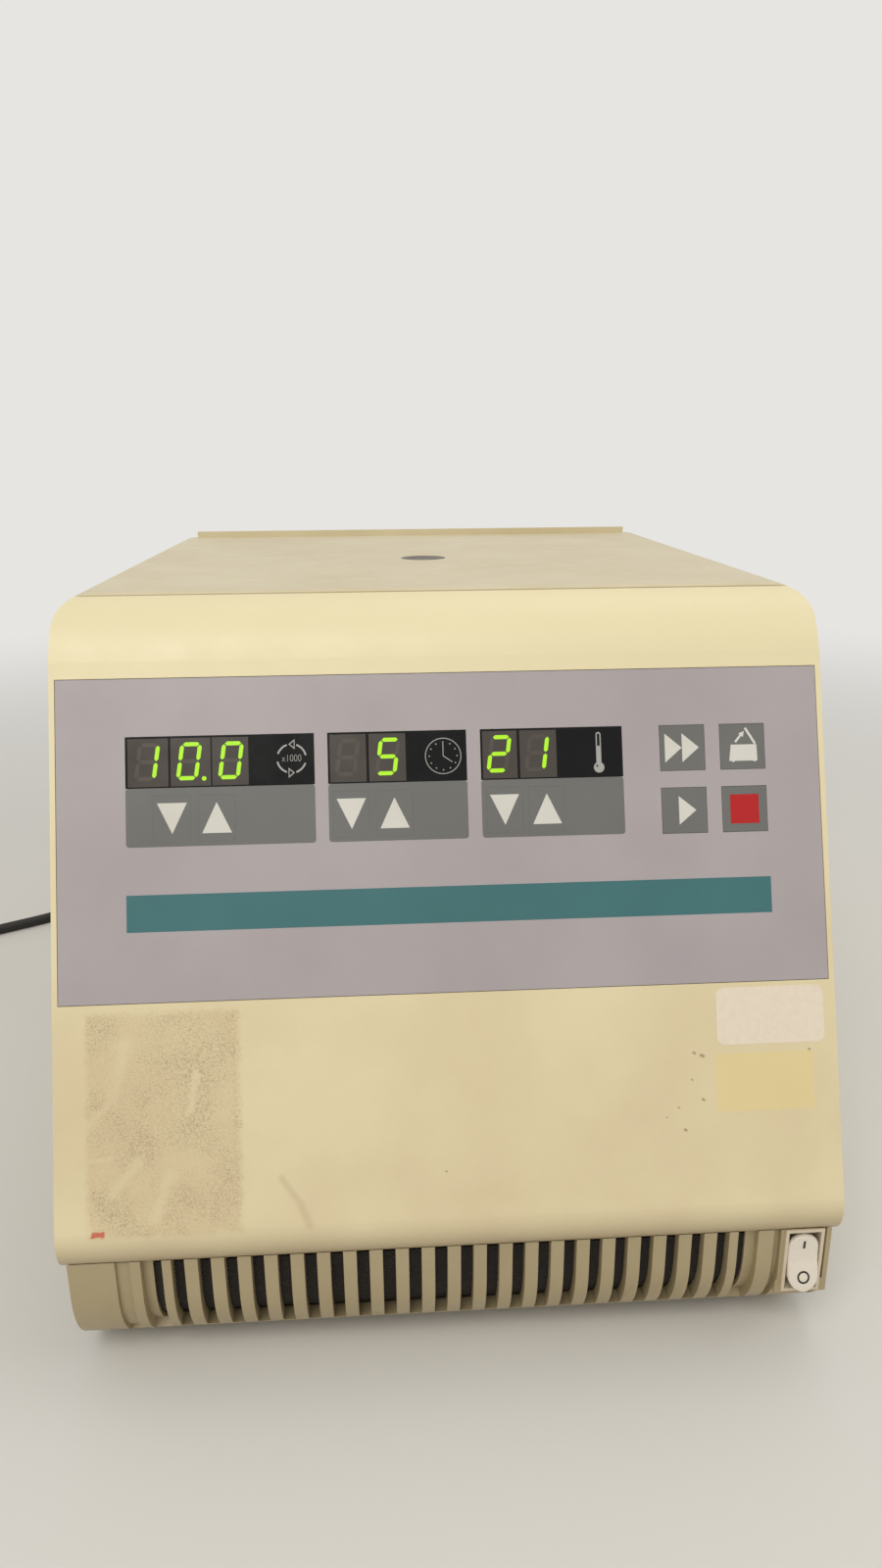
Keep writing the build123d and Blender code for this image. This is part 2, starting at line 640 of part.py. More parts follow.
with BuildPart() as mains_switch_body:
    block((SWITCH_X - BEZEL_W / 2, SWITCH_X + BEZEL_W / 2), (TRAY_FRONT_Y - BEZEL_PROUD, TRAY_FRONT_Y),
          (SWITCH_Z - BEZEL_H / 2, SWITCH_Z + BEZEL_H / 2))
    block((SWITCH_X - SWITCH_BODY_W / 2, SWITCH_X + SWITCH_BODY_W / 2),
          (TRAY_FRONT_Y, TRAY_FRONT_Y + SWITCH_COLLAR),
          (SWITCH_Z - SWITCH_BODY_H / 2, SWITCH_Z + SWITCH_BODY_H / 2))
    block((SWITCH_X - SWITCH_BODY_W / 2, SWITCH_X + SWITCH_BODY_W / 2),
          (TRAY_FRONT_Y, TRAY_FRONT_Y + SWITCH_DEEP),
          (SWITCH_Z - SWITCH_BODY_H / 2, SWITCH_BODY_TOP))
    rod((SWITCH_X, SKIRT_Y, SKIRT_Z), SKIRT_R + 2 * SKIRT_GAP, 2 * BEZEL_W, Mode.SUBTRACT, (0, 90, 0))
    half_w = ROCKER_W / 2 + 0.2 - 0.6
    block((SWITCH_X - half_w, SWITCH_X + half_w), (TRAY_FRONT_Y - 5, TRAY_FRONT_Y + SWITCH_COLLAR - 0.6),
          (SWITCH_Z - WELL_HALF, SWITCH_Z + WELL_HALF), Mode.SUBTRACT)
    block((SWITCH_X - half_w, SWITCH_X + half_w), (TRAY_FRONT_Y, TRAY_FRONT_Y + 9),
          (SWITCH_Z - WELL_HALF, SWITCH_BODY_TOP - 0.8), Mode.SUBTRACT)
    rod((SWITCH_X, ROCKER_Y, SWITCH_Z), ROCKER_PIN_R, SWITCH_BODY_W - 0.4, rotation=(0, 90, 0))

mains_switch_body.part.label = "mains_switch_body"
export_step(mains_switch_body.part, "parts/mains_switch_body.step")

with BuildPart() as mains_rocker:
    rocker_half = half_w - 0.3
    with BuildSketch(Plane.YZ.offset(SWITCH_X - rocker_half)):
        with BuildLine():
            proud = ROCKER_H / 2 * tan(radians(2 * ROCKER_TILT))
            Polyline((ROCKER_Y - ROCKER_FLUSH, SWITCH_Z + ROCKER_H / 2),
                     (ROCKER_Y - ROCKER_FLUSH, SWITCH_Z),
                     (ROCKER_Y - ROCKER_FLUSH - proud, SWITCH_Z - ROCKER_H / 2),
                     (ROCKER_Y - 0.5, SWITCH_Z - ROCKER_H / 2 + 0.5),
                     (ROCKER_Y + 4, SWITCH_Z - 5),
                     (ROCKER_Y + 4, SWITCH_Z + 5),
                     (ROCKER_Y - 0.5, SWITCH_Z + ROCKER_H / 2),
                     (ROCKER_Y - ROCKER_FLUSH, SWITCH_Z + ROCKER_H / 2))
        make_face()
    extrude(amount=2 * rocker_half)
    rod((SWITCH_X, ROCKER_Y, SWITCH_Z), ROCKER_PIN_R + RUN_FIT, 2 * BEZEL_W, Mode.SUBTRACT, (0, 90, 0))

mains_rocker.part.label = "mains_rocker"
export_step(mains_rocker.part, "parts/mains_rocker.step")


# Lid: moulded shell with skirts, a raised rear lip and bosses for its liner

LID_SKIRT_Z = DECK_Z + 0.5
LID_INNER_Z = LID_TOP_Z - LID_WALL
LID_SCREW_X = 124.0
LID_SCREWS = [(x, y) for x in (-LID_SCREW_X, LID_SCREW_X) for y in (-150.0, -40.0, 60.0)]
LID_BOSS_R = 5.0
LID_SCREW_R = 1.6
ARM_NOTCH_HALF = HINGE_BARREL_LENGTH / 2 + 2
LINER_TOP_Z = LINER_Z + LINER_THICK
SIGHT_HEAD = 2.0

with BuildPart() as lid_shell:
    block((-HALF, HALF), (LID_FRONT_Y, LID_BACK_Y), (LID_SKIRT_Z, LID_TOP_Z))
    extrude(cabinet_mask(0), amount=2 * DEPTH, mode=Mode.INTERSECT)
    front_edges = lid_shell.faces().sort_by(Axis.Y)[0].edges().sort_by(Axis.Z)[1:]
    fillet(front_edges, 1.0)
    with BuildPart(mode=Mode.PRIVATE) as hollow:
        block((-HALF, HALF), (LID_FRONT_Y + LID_WALL, LID_BACK_Y - LID_WALL), (LID_SKIRT_Z - 1, LID_TOP_Z))
        extrude(cabinet_mask(LID_WALL), amount=2 * DEPTH, mode=Mode.INTERSECT)
    add(hollow.part, mode=Mode.SUBTRACT)
    block((-LIP_HALF, LIP_HALF), (LID_BACK_Y - LIP_THICK, LID_BACK_Y), (LID_INNER_Z, LID_TOP_Z + LIP_RISE))
    for x, y in LID_SCREWS:
        rod((x, y, (LINER_TOP_Z + LID_TOP_Z) / 2 - 1), LID_BOSS_R, LID_TOP_Z - LINER_TOP_Z - 2)
        rod((x, y, LINER_TOP_Z), LID_SCREW_R, 16, Mode.SUBTRACT)
    rod((0, ROTOR_Y, LID_TOP_Z), SIGHT_D / 2 + 0.1, 2 * SIGHT_HEAD, Mode.SUBTRACT)
    rod((0, ROTOR_Y, LID_TOP_Z), SIGHT_ROD_D / 2 + 0.2, 4 * LID_WALL, Mode.SUBTRACT)
    for x in (-HINGE_X, HINGE_X):
        block((x - ARM_NOTCH_HALF, x + ARM_NOTCH_HALF), (LID_BACK_Y - LID_WALL - 1, LID_BACK_Y + 1),
              (LID_SKIRT_Z - 1, HINGE_Z + HINGE_BARREL_R + 1.5), Mode.SUBTRACT)

lid_shell.part.label = "lid_shell"
export_step(lid_shell.part, "parts/lid_shell.step")


# Lid liner: flat inner skin with a shallow cup that closes the chamber

LINER_SIDE = HALF - LID_WALL - 0.8
CUP_FLOOR_Z = LINER_Z - LID_CUP_DEPTH
CUP_INNER_R = LID_CUP_R - LINER_THICK

with BuildPart() as lid_liner:
    block((-LINER_SIDE, LINER_SIDE), (LID_FRONT_Y + LID_WALL + 0.5, LID_BACK_Y - LID_WALL - 0.5),
          (LINER_Z, LINER_TOP_Z))
    rod((0, ROTOR_Y, (CUP_FLOOR_Z + LINER_TOP_Z) / 2), LID_CUP_R, LINER_TOP_Z - CUP_FLOOR_Z)
    rod((0, ROTOR_Y, CUP_FLOOR_Z + LINER_THICK + 20), CUP_INNER_R, 40, Mode.SUBTRACT)
    rod((0, ROTOR_Y, CUP_FLOOR_Z), SIGHT_ROD_D / 2 + 0.2, 10, Mode.SUBTRACT)
    for x, y in LID_SCREWS:
        rod((x, y, LINER_Z), LID_SCREW_R + 0.2, 10, Mode.SUBTRACT)

lid_liner.part.label = "lid_liner"
export_step(lid_liner.part, "parts/lid_liner.step")


# Foam core between the lid and its liner

with BuildPart() as lid_core:
    core_low = CUP_FLOOR_Z + LINER_THICK + 0.1
    core_high = LID_INNER_Z - 0.2
    rod((0, ROTOR_Y, (core_low + core_high) / 2), CUP_INNER_R - 0.5, core_high - core_low)
    rod((0, ROTOR_Y, core_low), SIGHT_ROD_D / 2 + 0.2, 100, Mode.SUBTRACT)

lid_core.part.label = "lid_core"
export_step(lid_core.part, "parts/lid_core.step")


# Lid screws: pan heads under the liner

with BuildPart() as lid_screws:
    for x, y in LID_SCREWS:
        rod((x, y, LINER_Z - 0.8), 3.2, 1.6)
        rod((x, y, LINER_Z + 3.5), LID_SCREW_R - 0.05, 7.2)

lid_screws.part.label = "lid_screws"
export_step(lid_screws.part, "parts/lid_screws.step")


# Sight glass: clear rod with a flat head let into the lid

with BuildPart() as sight_glass:
    rod((0, ROTOR_Y, LID_TOP_Z - SIGHT_HEAD / 2), SIGHT_D / 2, SIGHT_HEAD)
    rod((0, ROTOR_Y, (CUP_FLOOR_Z + LID_TOP_Z) / 2), SIGHT_ROD_D / 2, LID_TOP_Z - CUP_FLOOR_Z)

sight_glass.part.label = "sight_glass"
export_step(sight_glass.part, "parts/sight_glass.step")


# Seals: a ring under the liner meets the gasket on the chamber's rim

RIM_Z = DECK_Z + BOWL_WALL
GASKET_IN_R = CHAMBER_R + BOWL_WALL + 1
GASKET_OUT_R = CHAMBER_R + RIM_W
GASKET_TOP_Z = RIM_Z + GASKET_H

with BuildPart() as lid_seal:
    seal_h = LINER_Z - GASKET_TOP_Z - BODY_GAP
    rod((0, ROTOR_Y, LINER_Z - seal_h / 2), GASKET_OUT_R, seal_h)
    rod((0, ROTOR_Y, LINER_Z), GASKET_IN_R, 20, Mode.SUBTRACT)

lid_seal.part.label = "lid_seal"
export_step(lid_seal.part, "parts/lid_seal.step")

with BuildPart() as chamber_gasket:
    rod((0, ROTOR_Y, RIM_Z + GASKET_H / 2), GASKET_OUT_R, GASKET_H)
    rod((0, ROTOR_Y, RIM_Z), GASKET_IN_R, 20, Mode.SUBTRACT)
    fillet(chamber_gasket.edges().group_by(Axis.Z)[-1], 1.5)

chamber_gasket.part.label = "chamber_gasket"
export_step(chamber_gasket.part, "parts/chamber_gasket.step")


# Lid hinge: two brackets with pins on the deck, two arms under the lid

EAR_R = 6.5
EAR_X = HINGE_BARREL_LENGTH / 2 + 0.4
BRACKET_LENGTH = 2 * (EAR_X + EAR_THICK)
BRACKET_BASE = 2.0

with BuildPart() as hinge_brackets:
    for x in (-HINGE_X, HINGE_X):
        block((x - BRACKET_LENGTH / 2, x + BRACKET_LENGTH / 2), (HINGE_Y - EAR_R, HINGE_Y + EAR_R),
              (DECK_Z, DECK_Z + BRACKET_BASE - 0.6))
        for side in (-1, 1):
            ear_x = x + side * (EAR_X + EAR_THICK / 2)
            block((ear_x - EAR_THICK / 2, ear_x + EAR_THICK / 2), (HINGE_Y - EAR_R, HINGE_Y + EAR_R),
                  (DECK_Z, HINGE_Z))
            rod((ear_x, HINGE_Y, HINGE_Z), EAR_R, EAR_THICK, rotation=(0, 90, 0))
        rod((x, HINGE_Y, HINGE_Z), HINGE_PIN_R, 2 * BRACKET_LENGTH, Mode.SUBTRACT, (0, 90, 0))

hinge_brackets.part.label = "hinge_brackets"
export_step(hinge_brackets.part, "parts/hinge_brackets.step")

with BuildPart() as hinge_pins:
    for x in (-HINGE_X, HINGE_X):
        rod((x, HINGE_Y, HINGE_Z), HINGE_PIN_R, BRACKET_LENGTH + 1.0, rotation=(0, 90, 0))

hinge_pins.part.label = "hinge_pins"
export_step(hinge_pins.part, "parts/hinge_pins.step")

with BuildPart() as lid_hinge_arms:
    for x in (-HINGE_X, HINGE_X):
        half = HINGE_BARREL_LENGTH / 2
        rod((x, HINGE_Y, HINGE_Z), HINGE_BARREL_R, HINGE_BARREL_LENGTH, rotation=(0, 90, 0))
        block((x - half, x + half), (LID_BACK_Y - 45, HINGE_Y), (LINER_TOP_Z, LINER_TOP_Z + 2.5))
        block((x - half, x + half), (LID_BACK_Y - 45, LID_BACK_Y - 20),
              (LINER_TOP_Z, LID_INNER_Z - 0.1))
        rod((x, HINGE_Y, HINGE_Z), HINGE_PIN_R + RUN_FIT, 3 * half, Mode.SUBTRACT, (0, 90, 0))

lid_hinge_arms.part.label = "lid_hinge_arms"
export_step(lid_hinge_arms.part, "parts/lid_hinge_arms.step")


# Lid latch: striker under the lid, bracket under the deck, swinging hook between them

STRIKER_Z = 243.0
STRIKER_R = 2.0
LEG_X = 7.0
LEG_W = 2.0
LEG_DEEP = 4.0
PIVOT_Y = LATCH_Y - 5.0
PIVOT_Z = 226.0
PIVOT_R = 2.0
HOOK_HALF = 4.0
LATCH_SIDE = 11.0

with BuildPart() as lid_striker:
    block((-LEG_X - 5, LEG_X + 5), (LATCH_Y - LEG_DEEP / 2, LATCH_Y + LEG_DEEP / 2), (LINER_Z - 1.5, LINER_Z))
    for side in (-1, 1):
        leg = sorted((side * LEG_X, side * (LEG_X + LEG_W)))
        block(tuple(leg), (LATCH_Y - LEG_DEEP / 2, LATCH_Y + LEG_DEEP / 2), (STRIKER_Z - 2, LINER_Z - 1))
    rod((0, LATCH_Y, STRIKER_Z), STRIKER_R - 0.2, 2 * LEG_X + 2, rotation=(0, 90, 0))

lid_striker.part.label = "lid_striker"
export_step(lid_striker.part, "parts/lid_striker.step")

with BuildPart() as latch_body:
    block((-LATCH_SIDE - 1.5, LATCH_SIDE + 1.5), (PIVOT_Y - 7, LATCH_Y + 6.4), (PIVOT_Z - 10, PIVOT_Z - 8))
    for side in (-1, 1):
        plate = sorted((side * LATCH_SIDE, side * (LATCH_SIDE + 1.5)))
        block(tuple(plate), (PIVOT_Y - 7, LATCH_Y + 6.4), (PIVOT_Z - 10, DECK_UNDER_Z))
        tab = sorted((side * LATCH_SIDE + side * 1.5, side * (LATCH_SIDE + 11)))
        block(tuple(tab), (PIVOT_Y - 7, LATCH_Y + 6.4), (DECK_UNDER_Z - 1.5, DECK_UNDER_Z))
    rod((0, PIVOT_Y, PIVOT_Z), PIVOT_R, 2 * LATCH_SIDE, rotation=(0, 90, 0))
    # Solenoid under the bracket
    block((-12, 12), (PIVOT_Y - 7, PIVOT_Y + 11), (PIVOT_Z - 32, PIVOT_Z - 10))
    rod((0, PIVOT_Y + 2, PIVOT_Z - 34), 3.0, 6)

latch_body.part.label = "latch_body"
export_step(latch_body.part, "parts/latch_body.step")

with BuildPart() as latch_hook:
    with BuildSketch(Plane.YZ.offset(-HOOK_HALF)):
        with BuildLine():
            under = STRIKER_Z + STRIKER_R + 0.1
            Polyline((PIVOT_Y - 2.5, PIVOT_Z - 2), (PIVOT_Y - 2.5, under + 4.2), (LATCH_Y - 2, under + 4.2),
                     (LATCH_Y + 1, under + 1.2), (LATCH_Y + 1, under), (PIVOT_Y + 1.8, under),
                     (PIVOT_Y + 1.8, PIVOT_Z - 2), (PIVOT_Y - 2.5, PIVOT_Z - 2))
        make_face()
    extrude(amount=2 * HOOK_HALF)
    rod((0, PIVOT_Y, PIVOT_Z), 4.0, 2 * HOOK_HALF, rotation=(0, 90, 0))
    rod((0, PIVOT_Y, PIVOT_Z), PIVOT_R + RUN_FIT, 4 * HOOK_HALF, Mode.SUBTRACT, (0, 90, 0))

latch_hook.part.label = "latch_hook"
export_step(latch_hook.part, "parts/latch_hook.step")


# Chamber: steel bowl, evaporator tube round it and foam jacket

SHAFT_HOLE_R = 18.0
BOWL_OUT_R = CHAMBER_R + BOWL_WALL
BOWL_BASE_Z = CHAMBER_FLOOR_Z - BOWL_WALL
BOWL_CORNER = 10.0
EVAP_R = BOWL_OUT_R + COIL_TUBE_R + 0.3
EVAP_LOW_Z = BOWL_BASE_Z + 16
EVAP_HIGH_Z = EVAP_LOW_Z + (COIL_RINGS - 1) * COIL_PITCH
STUB_END_Y = ROTOR_Y + JACKET_R + 6
STUB_LOW_X = 4.0
STUB_HIGH_X = -28.0

with BuildPart() as chamber_bowl:
    rod((0, ROTOR_Y, (BOWL_BASE_Z + DECK_Z) / 2), BOWL_OUT_R, DECK_Z - BOWL_BASE_Z)
    fillet(chamber_bowl.edges().group_by(Axis.Z)[0], BOWL_CORNER + BOWL_WALL)
    rod((0, ROTOR_Y, RIM_Z - BOWL_WALL / 2), CHAMBER_R + RIM_W + 1, BOWL_WALL)
    with BuildPart(mode=Mode.PRIVATE) as bowl_space:
        rod((0, ROTOR_Y, CHAMBER_FLOOR_Z + 60), CHAMBER_R, 120)
        fillet(bowl_space.edges().group_by(Axis.Z)[0], BOWL_CORNER)
    add(bowl_space.part, mode=Mode.SUBTRACT)
    rod((0, ROTOR_Y, BOWL_BASE_Z), SHAFT_HOLE_R, 20, Mode.SUBTRACT)

chamber_bowl.part.label = "chamber_bowl"
export_step(chamber_bowl.part, "parts/chamber_bowl.step")

with BuildPart() as evaporator_coil:
    for ring in range(COIL_RINGS):
        with Locations((0, ROTOR_Y, EVAP_LOW_Z + ring * COIL_PITCH)):
            Torus(EVAP_R, COIL_TUBE_R)
    for x, z in ((STUB_LOW_X, EVAP_LOW_Z), (STUB_HIGH_X, EVAP_HIGH_Z)):
        ring_y = ROTOR_Y + sqrt(EVAP_R ** 2 - x ** 2)
        rod((x, (ring_y + STUB_END_Y) / 2, z), COIL_TUBE_R - 0.1, STUB_END_Y - ring_y, rotation=(90, 0, 0))
    rod((0, ROTOR_Y + EVAP_R, (EVAP_LOW_Z + EVAP_HIGH_Z) / 2), COIL_TUBE_R - 0.5, EVAP_HIGH_Z - EVAP_LOW_Z)

evaporator_coil.part.label = "evaporator_coil"
export_step(evaporator_coil.part, "parts/evaporator_coil.step")

with BuildPart() as insulation_jacket:
    jacket_low = BOWL_BASE_Z - JACKET_BASE
    rod((0, ROTOR_Y, (jacket_low + DECK_UNDER_Z) / 2), JACKET_R, DECK_UNDER_Z - jacket_low)
    rod((0, ROTOR_Y, BOWL_BASE_Z - 0.3 + 60), EVAP_R + COIL_TUBE_R + 0.4, 120, Mode.SUBTRACT)
    rod((0, ROTOR_Y, jacket_low), SHAFT_HOLE_R + 6, 60, Mode.SUBTRACT)
    block((-LATCH_SIDE - 13, LATCH_SIDE + 13), (ROTOR_Y - JACKET_R - 5, LATCH_Y + 8),
          (PIVOT_Z - 42, DECK_Z), Mode.SUBTRACT)
    block((STUB_HIGH_X - 5, STUB_LOW_X + 5), (ROTOR_Y + EVAP_R - 8, ROTOR_Y + JACKET_R + 5),
          (EVAP_LOW_Z - 6, EVAP_HIGH_Z + 6), Mode.SUBTRACT)

insulation_jacket.part.label = "insulation_jacket"
export_step(insulation_jacket.part, "parts/insulation_jacket.step")


# Drive: plate on the tray, rubber dampers, motor with its bearings and shaft

PLATE_TOP_Z = TRAY_FLOOR_Z + MOTOR_PLATE_THICK
MOTOR_BASE_Z = PLATE_TOP_Z + DAMPER_H
MOTOR_BODY_Z = MOTOR_BASE_Z + MOTOR_FLANGE_THICK
MOTOR_WALL = 5.0
STATOR_IN_R = 27.0
STATOR_INSET = 12.0
BEARING_ZS = (MOTOR_BODY_Z + BEARING_H / 2, MOTOR_TOP_Z - BEARING_H / 2)
SHAFT_TOP_Z = ROTOR_Z + ROTOR_H - 6
SEAT_Z = ROTOR_Z + 10
HUB_TOP_Z = ROTOR_Z + 32

with BuildPart() as motor_plate:
    block((-MOTOR_PLATE_SIZE / 2, MOTOR_PLATE_SIZE / 2),
          (ROTOR_Y - MOTOR_PLATE_SIZE / 2, ROTOR_Y + MOTOR_PLATE_SIZE / 2), (TRAY_FLOOR_Z, PLATE_TOP_Z))
    fillet(motor_plate.edges().filter_by(Axis.Z), 8)

motor_plate.part.label = "motor_plate"
export_step(motor_plate.part, "parts/motor_plate.step")

with BuildPart() as motor_dampers:
    with Locations((0, ROTOR_Y, (PLATE_TOP_Z + MOTOR_BASE_Z) / 2)):
        with PolarLocations(DAMPER_RING_R, 3, start_angle=90):
            Cylinder(DAMPER_R, DAMPER_H)

motor_dampers.part.label = "motor_dampers"
export_step(motor_dampers.part, "parts/motor_dampers.step")

inside_low = MOTOR_BODY_Z + BEARING_H + 1
inside_high = MOTOR_TOP_Z - BEARING_H - 1
STATOR_MID_Z = (inside_low + inside_high) / 2
STATOR_H = inside_high - inside_low - 2 * STATOR_INSET

with BuildPart() as motor_housing:
    rod((0, ROTOR_Y, MOTOR_BASE_Z + MOTOR_FLANGE_THICK / 2), MOTOR_FLANGE_R, MOTOR_FLANGE_THICK)
    rod((0, ROTOR_Y, (MOTOR_BODY_Z + MOTOR_TOP_Z) / 2), MOTOR_R, MOTOR_TOP_Z - MOTOR_BODY_Z)
    fillet(motor_housing.edges().group_by(Axis.Z)[-1], 4)
    rod((0, ROTOR_Y, (inside_low + inside_high) / 2), MOTOR_R - MOTOR_WALL, inside_high - inside_low,
        Mode.SUBTRACT)
    for z in BEARING_ZS:
        rod((0, ROTOR_Y, z), BEARING_R, BEARING_H, Mode.SUBTRACT)
    rod((0, ROTOR_Y, (inside_low + MOTOR_TOP_Z) / 2), SHAFT_R + 3, MOTOR_TOP_Z - MOTOR_BASE_Z + 20,
        Mode.SUBTRACT)
    # Stator pressed into the housing
    with Locations((0, ROTOR_Y, STATOR_MID_Z)):
        Cylinder(MOTOR_R - MOTOR_WALL, STATOR_H)
        Cylinder(STATOR_IN_R, STATOR_H, mode=Mode.SUBTRACT)

motor_housing.part.label = "motor_housing"
export_step(motor_housing.part, "parts/motor_housing.step")

with BuildPart() as motor_bearings:
    for z in BEARING_ZS:
        rod((0, ROTOR_Y, z), BEARING_R, BEARING_H)
    rod((0, ROTOR_Y, MOTOR_TOP_Z / 2), SHAFT_R + RUN_FIT, 2 * MOTOR_TOP_Z, Mode.SUBTRACT)

motor_bearings.part.label = "motor_bearings"
export_step(motor_bearings.part, "parts/motor_bearings.step")

with BuildPart() as motor_shaft:
    shaft_low = MOTOR_BODY_Z + 0.5
    rod((0, ROTOR_Y, (shaft_low + SHAFT_TOP_Z) / 2), SHAFT_R, SHAFT_TOP_Z - shaft_low)
    rod((0, ROTOR_Y, STATOR_MID_Z), STATOR_IN_R - 1, STATOR_H)
    rod((0, ROTOR_Y, SEAT_Z - 4), SHAFT_R + 4, 8)

motor_shaft.part.label = "motor_shaft"
export_step(motor_shaft.part, "parts/motor_shaft.step")

with BuildPart() as motor_boot:
    boot_low = MOTOR_TOP_Z
    boot_high = BOWL_BASE_Z
    rod((0, ROTOR_Y, (boot_low + boot_high) / 2), SHAFT_HOLE_R + 4, boot_high - boot_low)
    rod((0, ROTOR_Y, boot_low), SHAFT_HOLE_R, 100, Mode.SUBTRACT)

motor_boot.part.label = "motor_boot"
export_step(motor_boot.part, "parts/motor_boot.step")


# Rotor: solid angle rotor with tilted tube bores, its flat lid and the clamping knob

RIM_Z_ROTOR = ROTOR_Z + ROTOR_H
FACE_Z = ROTOR_Z + 34.0
FACE_OFFSET = FACE_Z - TUBE_RING_R
FACE_LOW_R = 38.0
FACE_HIGH_R = RIM_Z_ROTOR - FACE_OFFSET
ROTOR_AXIS = Axis((0, ROTOR_Y, 0), (0, 0, 1))
ROTOR_PLANE = Plane(origin=(0, ROTOR_Y, 0), x_dir=(1, 0, 0), z_dir=(0, -1, 0))
BORE_R = SHAFT_R + RUN_FIT
HUB_R = 22.0

with BuildPart() as rotor:
    with BuildSketch(ROTOR_PLANE):
        with BuildLine():
            Polyline((BORE_R, SEAT_Z), (30, SEAT_Z), (50, ROTOR_Z), (ROTOR_R - 6, ROTOR_Z),
                     (ROTOR_R, ROTOR_Z + 7), (ROTOR_R, RIM_Z_ROTOR - 6), (ROTOR_R - 6, RIM_Z_ROTOR),
                     (FACE_HIGH_R, RIM_Z_ROTOR), (FACE_LOW_R, FACE_LOW_R + FACE_OFFSET),
                     (HUB_R, FACE_LOW_R + FACE_OFFSET), (HUB_R, HUB_TOP_Z), (BORE_R, HUB_TOP_Z),
                     (BORE_R, SEAT_Z))
        make_face()
    revolve(axis=ROTOR_AXIS)
    tilt = radians(TUBE_TILT)
    for n in range(TUBE_COUNT):
        angle = 2 * pi * n / TUBE_COUNT
        out = (cos(angle), sin(angle))
        mouth = (out[0] * TUBE_RING_R, ROTOR_Y + out[1] * TUBE_RING_R, FACE_Z)
        axis_dir = (-out[0] * sin(tilt), -out[1] * sin(tilt), cos(tilt))
        with BuildSketch(Plane(origin=mouth, z_dir=axis_dir).offset(MOUTH_CLEAR)):
            Circle(TUBE_D / 2)
        extrude(amount=-(TUBE_LENGTH + MOUTH_CLEAR), mode=Mode.SUBTRACT)

rotor.part.label = "rotor"
export_step(rotor.part, "parts/rotor.step")

LID_HUB_R = 9.5
ROTOR_LID_Z = RIM_Z_ROTOR + 0.2
KNOB_Z = ROTOR_LID_Z + 3.4

with BuildPart() as rotor_lid:
    with BuildSketch(ROTOR_PLANE):
        with BuildLine():
            Polyline((LID_HUB_R, HUB_TOP_Z + 0.2), (LID_HUB_R + 6, HUB_TOP_Z + 0.2),
                     (LID_HUB_R + 8, ROTOR_LID_Z), (ROTOR_R - 8, ROTOR_LID_Z), (ROTOR_R - 8, ROTOR_LID_Z + 2),
                     (ROTOR_R - 10, ROTOR_LID_Z + 3), (LID_HUB_R, ROTOR_LID_Z + 3), (LID_HUB_R, HUB_TOP_Z + 0.2))
        make_face()
    revolve(axis=ROTOR_AXIS)

rotor_lid.part.label = "rotor_lid"
export_step(rotor_lid.part, "parts/rotor_lid.step")

with BuildPart() as rotor_knob:
    rod((0, ROTOR_Y, (KNOB_Z + CUP_FLOOR_Z - 3) / 2), 14, CUP_FLOOR_Z - 3 - KNOB_Z)
    with Locations((0, ROTOR_Y, CUP_FLOOR_Z)):
        with PolarLocations(15.5, 12):
            Cylinder(2.2, 40, mode=Mode.SUBTRACT)
    rod((0, ROTOR_Y, (HUB_TOP_Z + 0.3 + KNOB_Z) / 2), LID_HUB_R - 0.3, KNOB_Z - HUB_TOP_Z - 0.3 + 0.2)
    rod((0, ROTOR_Y, (HUB_TOP_Z + SHAFT_TOP_Z + 1) / 2 - 2), SHAFT_R + RUN_FIT, SHAFT_TOP_Z + 5 - HUB_TOP_Z,
        Mode.SUBTRACT)

rotor_knob.part.label = "rotor_knob"
export_step(rotor_knob.part, "parts/rotor_knob.step")


# Refrigeration set: compressor on grommets, condenser with its fan, drier and copper lines

COMPRESSOR_Z = TRAY_FLOOR_Z + GROMMET_H
COMPRESSOR_PLATE = 3.0
COMPRESSOR_TOP_Z = COMPRESSOR_Z + COMPRESSOR_PLATE + COMPRESSOR_H

with BuildPart() as compressor:
    rod((COMPRESSOR_X, COMPRESSOR_Y, COMPRESSOR_Z + COMPRESSOR_PLATE + COMPRESSOR_H / 2), COMPRESSOR_R,
        COMPRESSOR_H)
    fillet(compressor.edges().filter_by(GeomType.CIRCLE), 22)
    block((COMPRESSOR_X - 52, COMPRESSOR_X + 52), (COMPRESSOR_Y - 52, COMPRESSOR_Y + 52),
          (COMPRESSOR_Z, COMPRESSOR_Z + COMPRESSOR_PLATE + 0.5))
    block((COMPRESSOR_X + 25, COMPRESSOR_X + COMPRESSOR_R + 8), (COMPRESSOR_Y - 40, COMPRESSOR_Y - 5),
          (COMPRESSOR_Z + 45, COMPRESSOR_Z + 90))

compressor.part.label = "compressor"
export_step(compressor.part, "parts/compressor.step")

with BuildPart() as compressor_mounts:
    for x, y in COMPRESSOR_FEET:
        rod((x, y, TRAY_FLOOR_Z + GROMMET_H / 2), 8, GROMMET_H)

compressor_mounts.part.label = "compressor_mounts"
export_step(compressor_mounts.part, "parts/compressor_mounts.step")

CONDENSER_BACK_Y = TRAY_BACK_Y - TRAY_WALL - 2
CONDENSER_FRONT_Y = CONDENSER_BACK_Y - CONDENSER_THICK
CONDENSER_LOW_Z = 50.0
FIN_PITCH = 5.0
FIN_THICK = 0.8

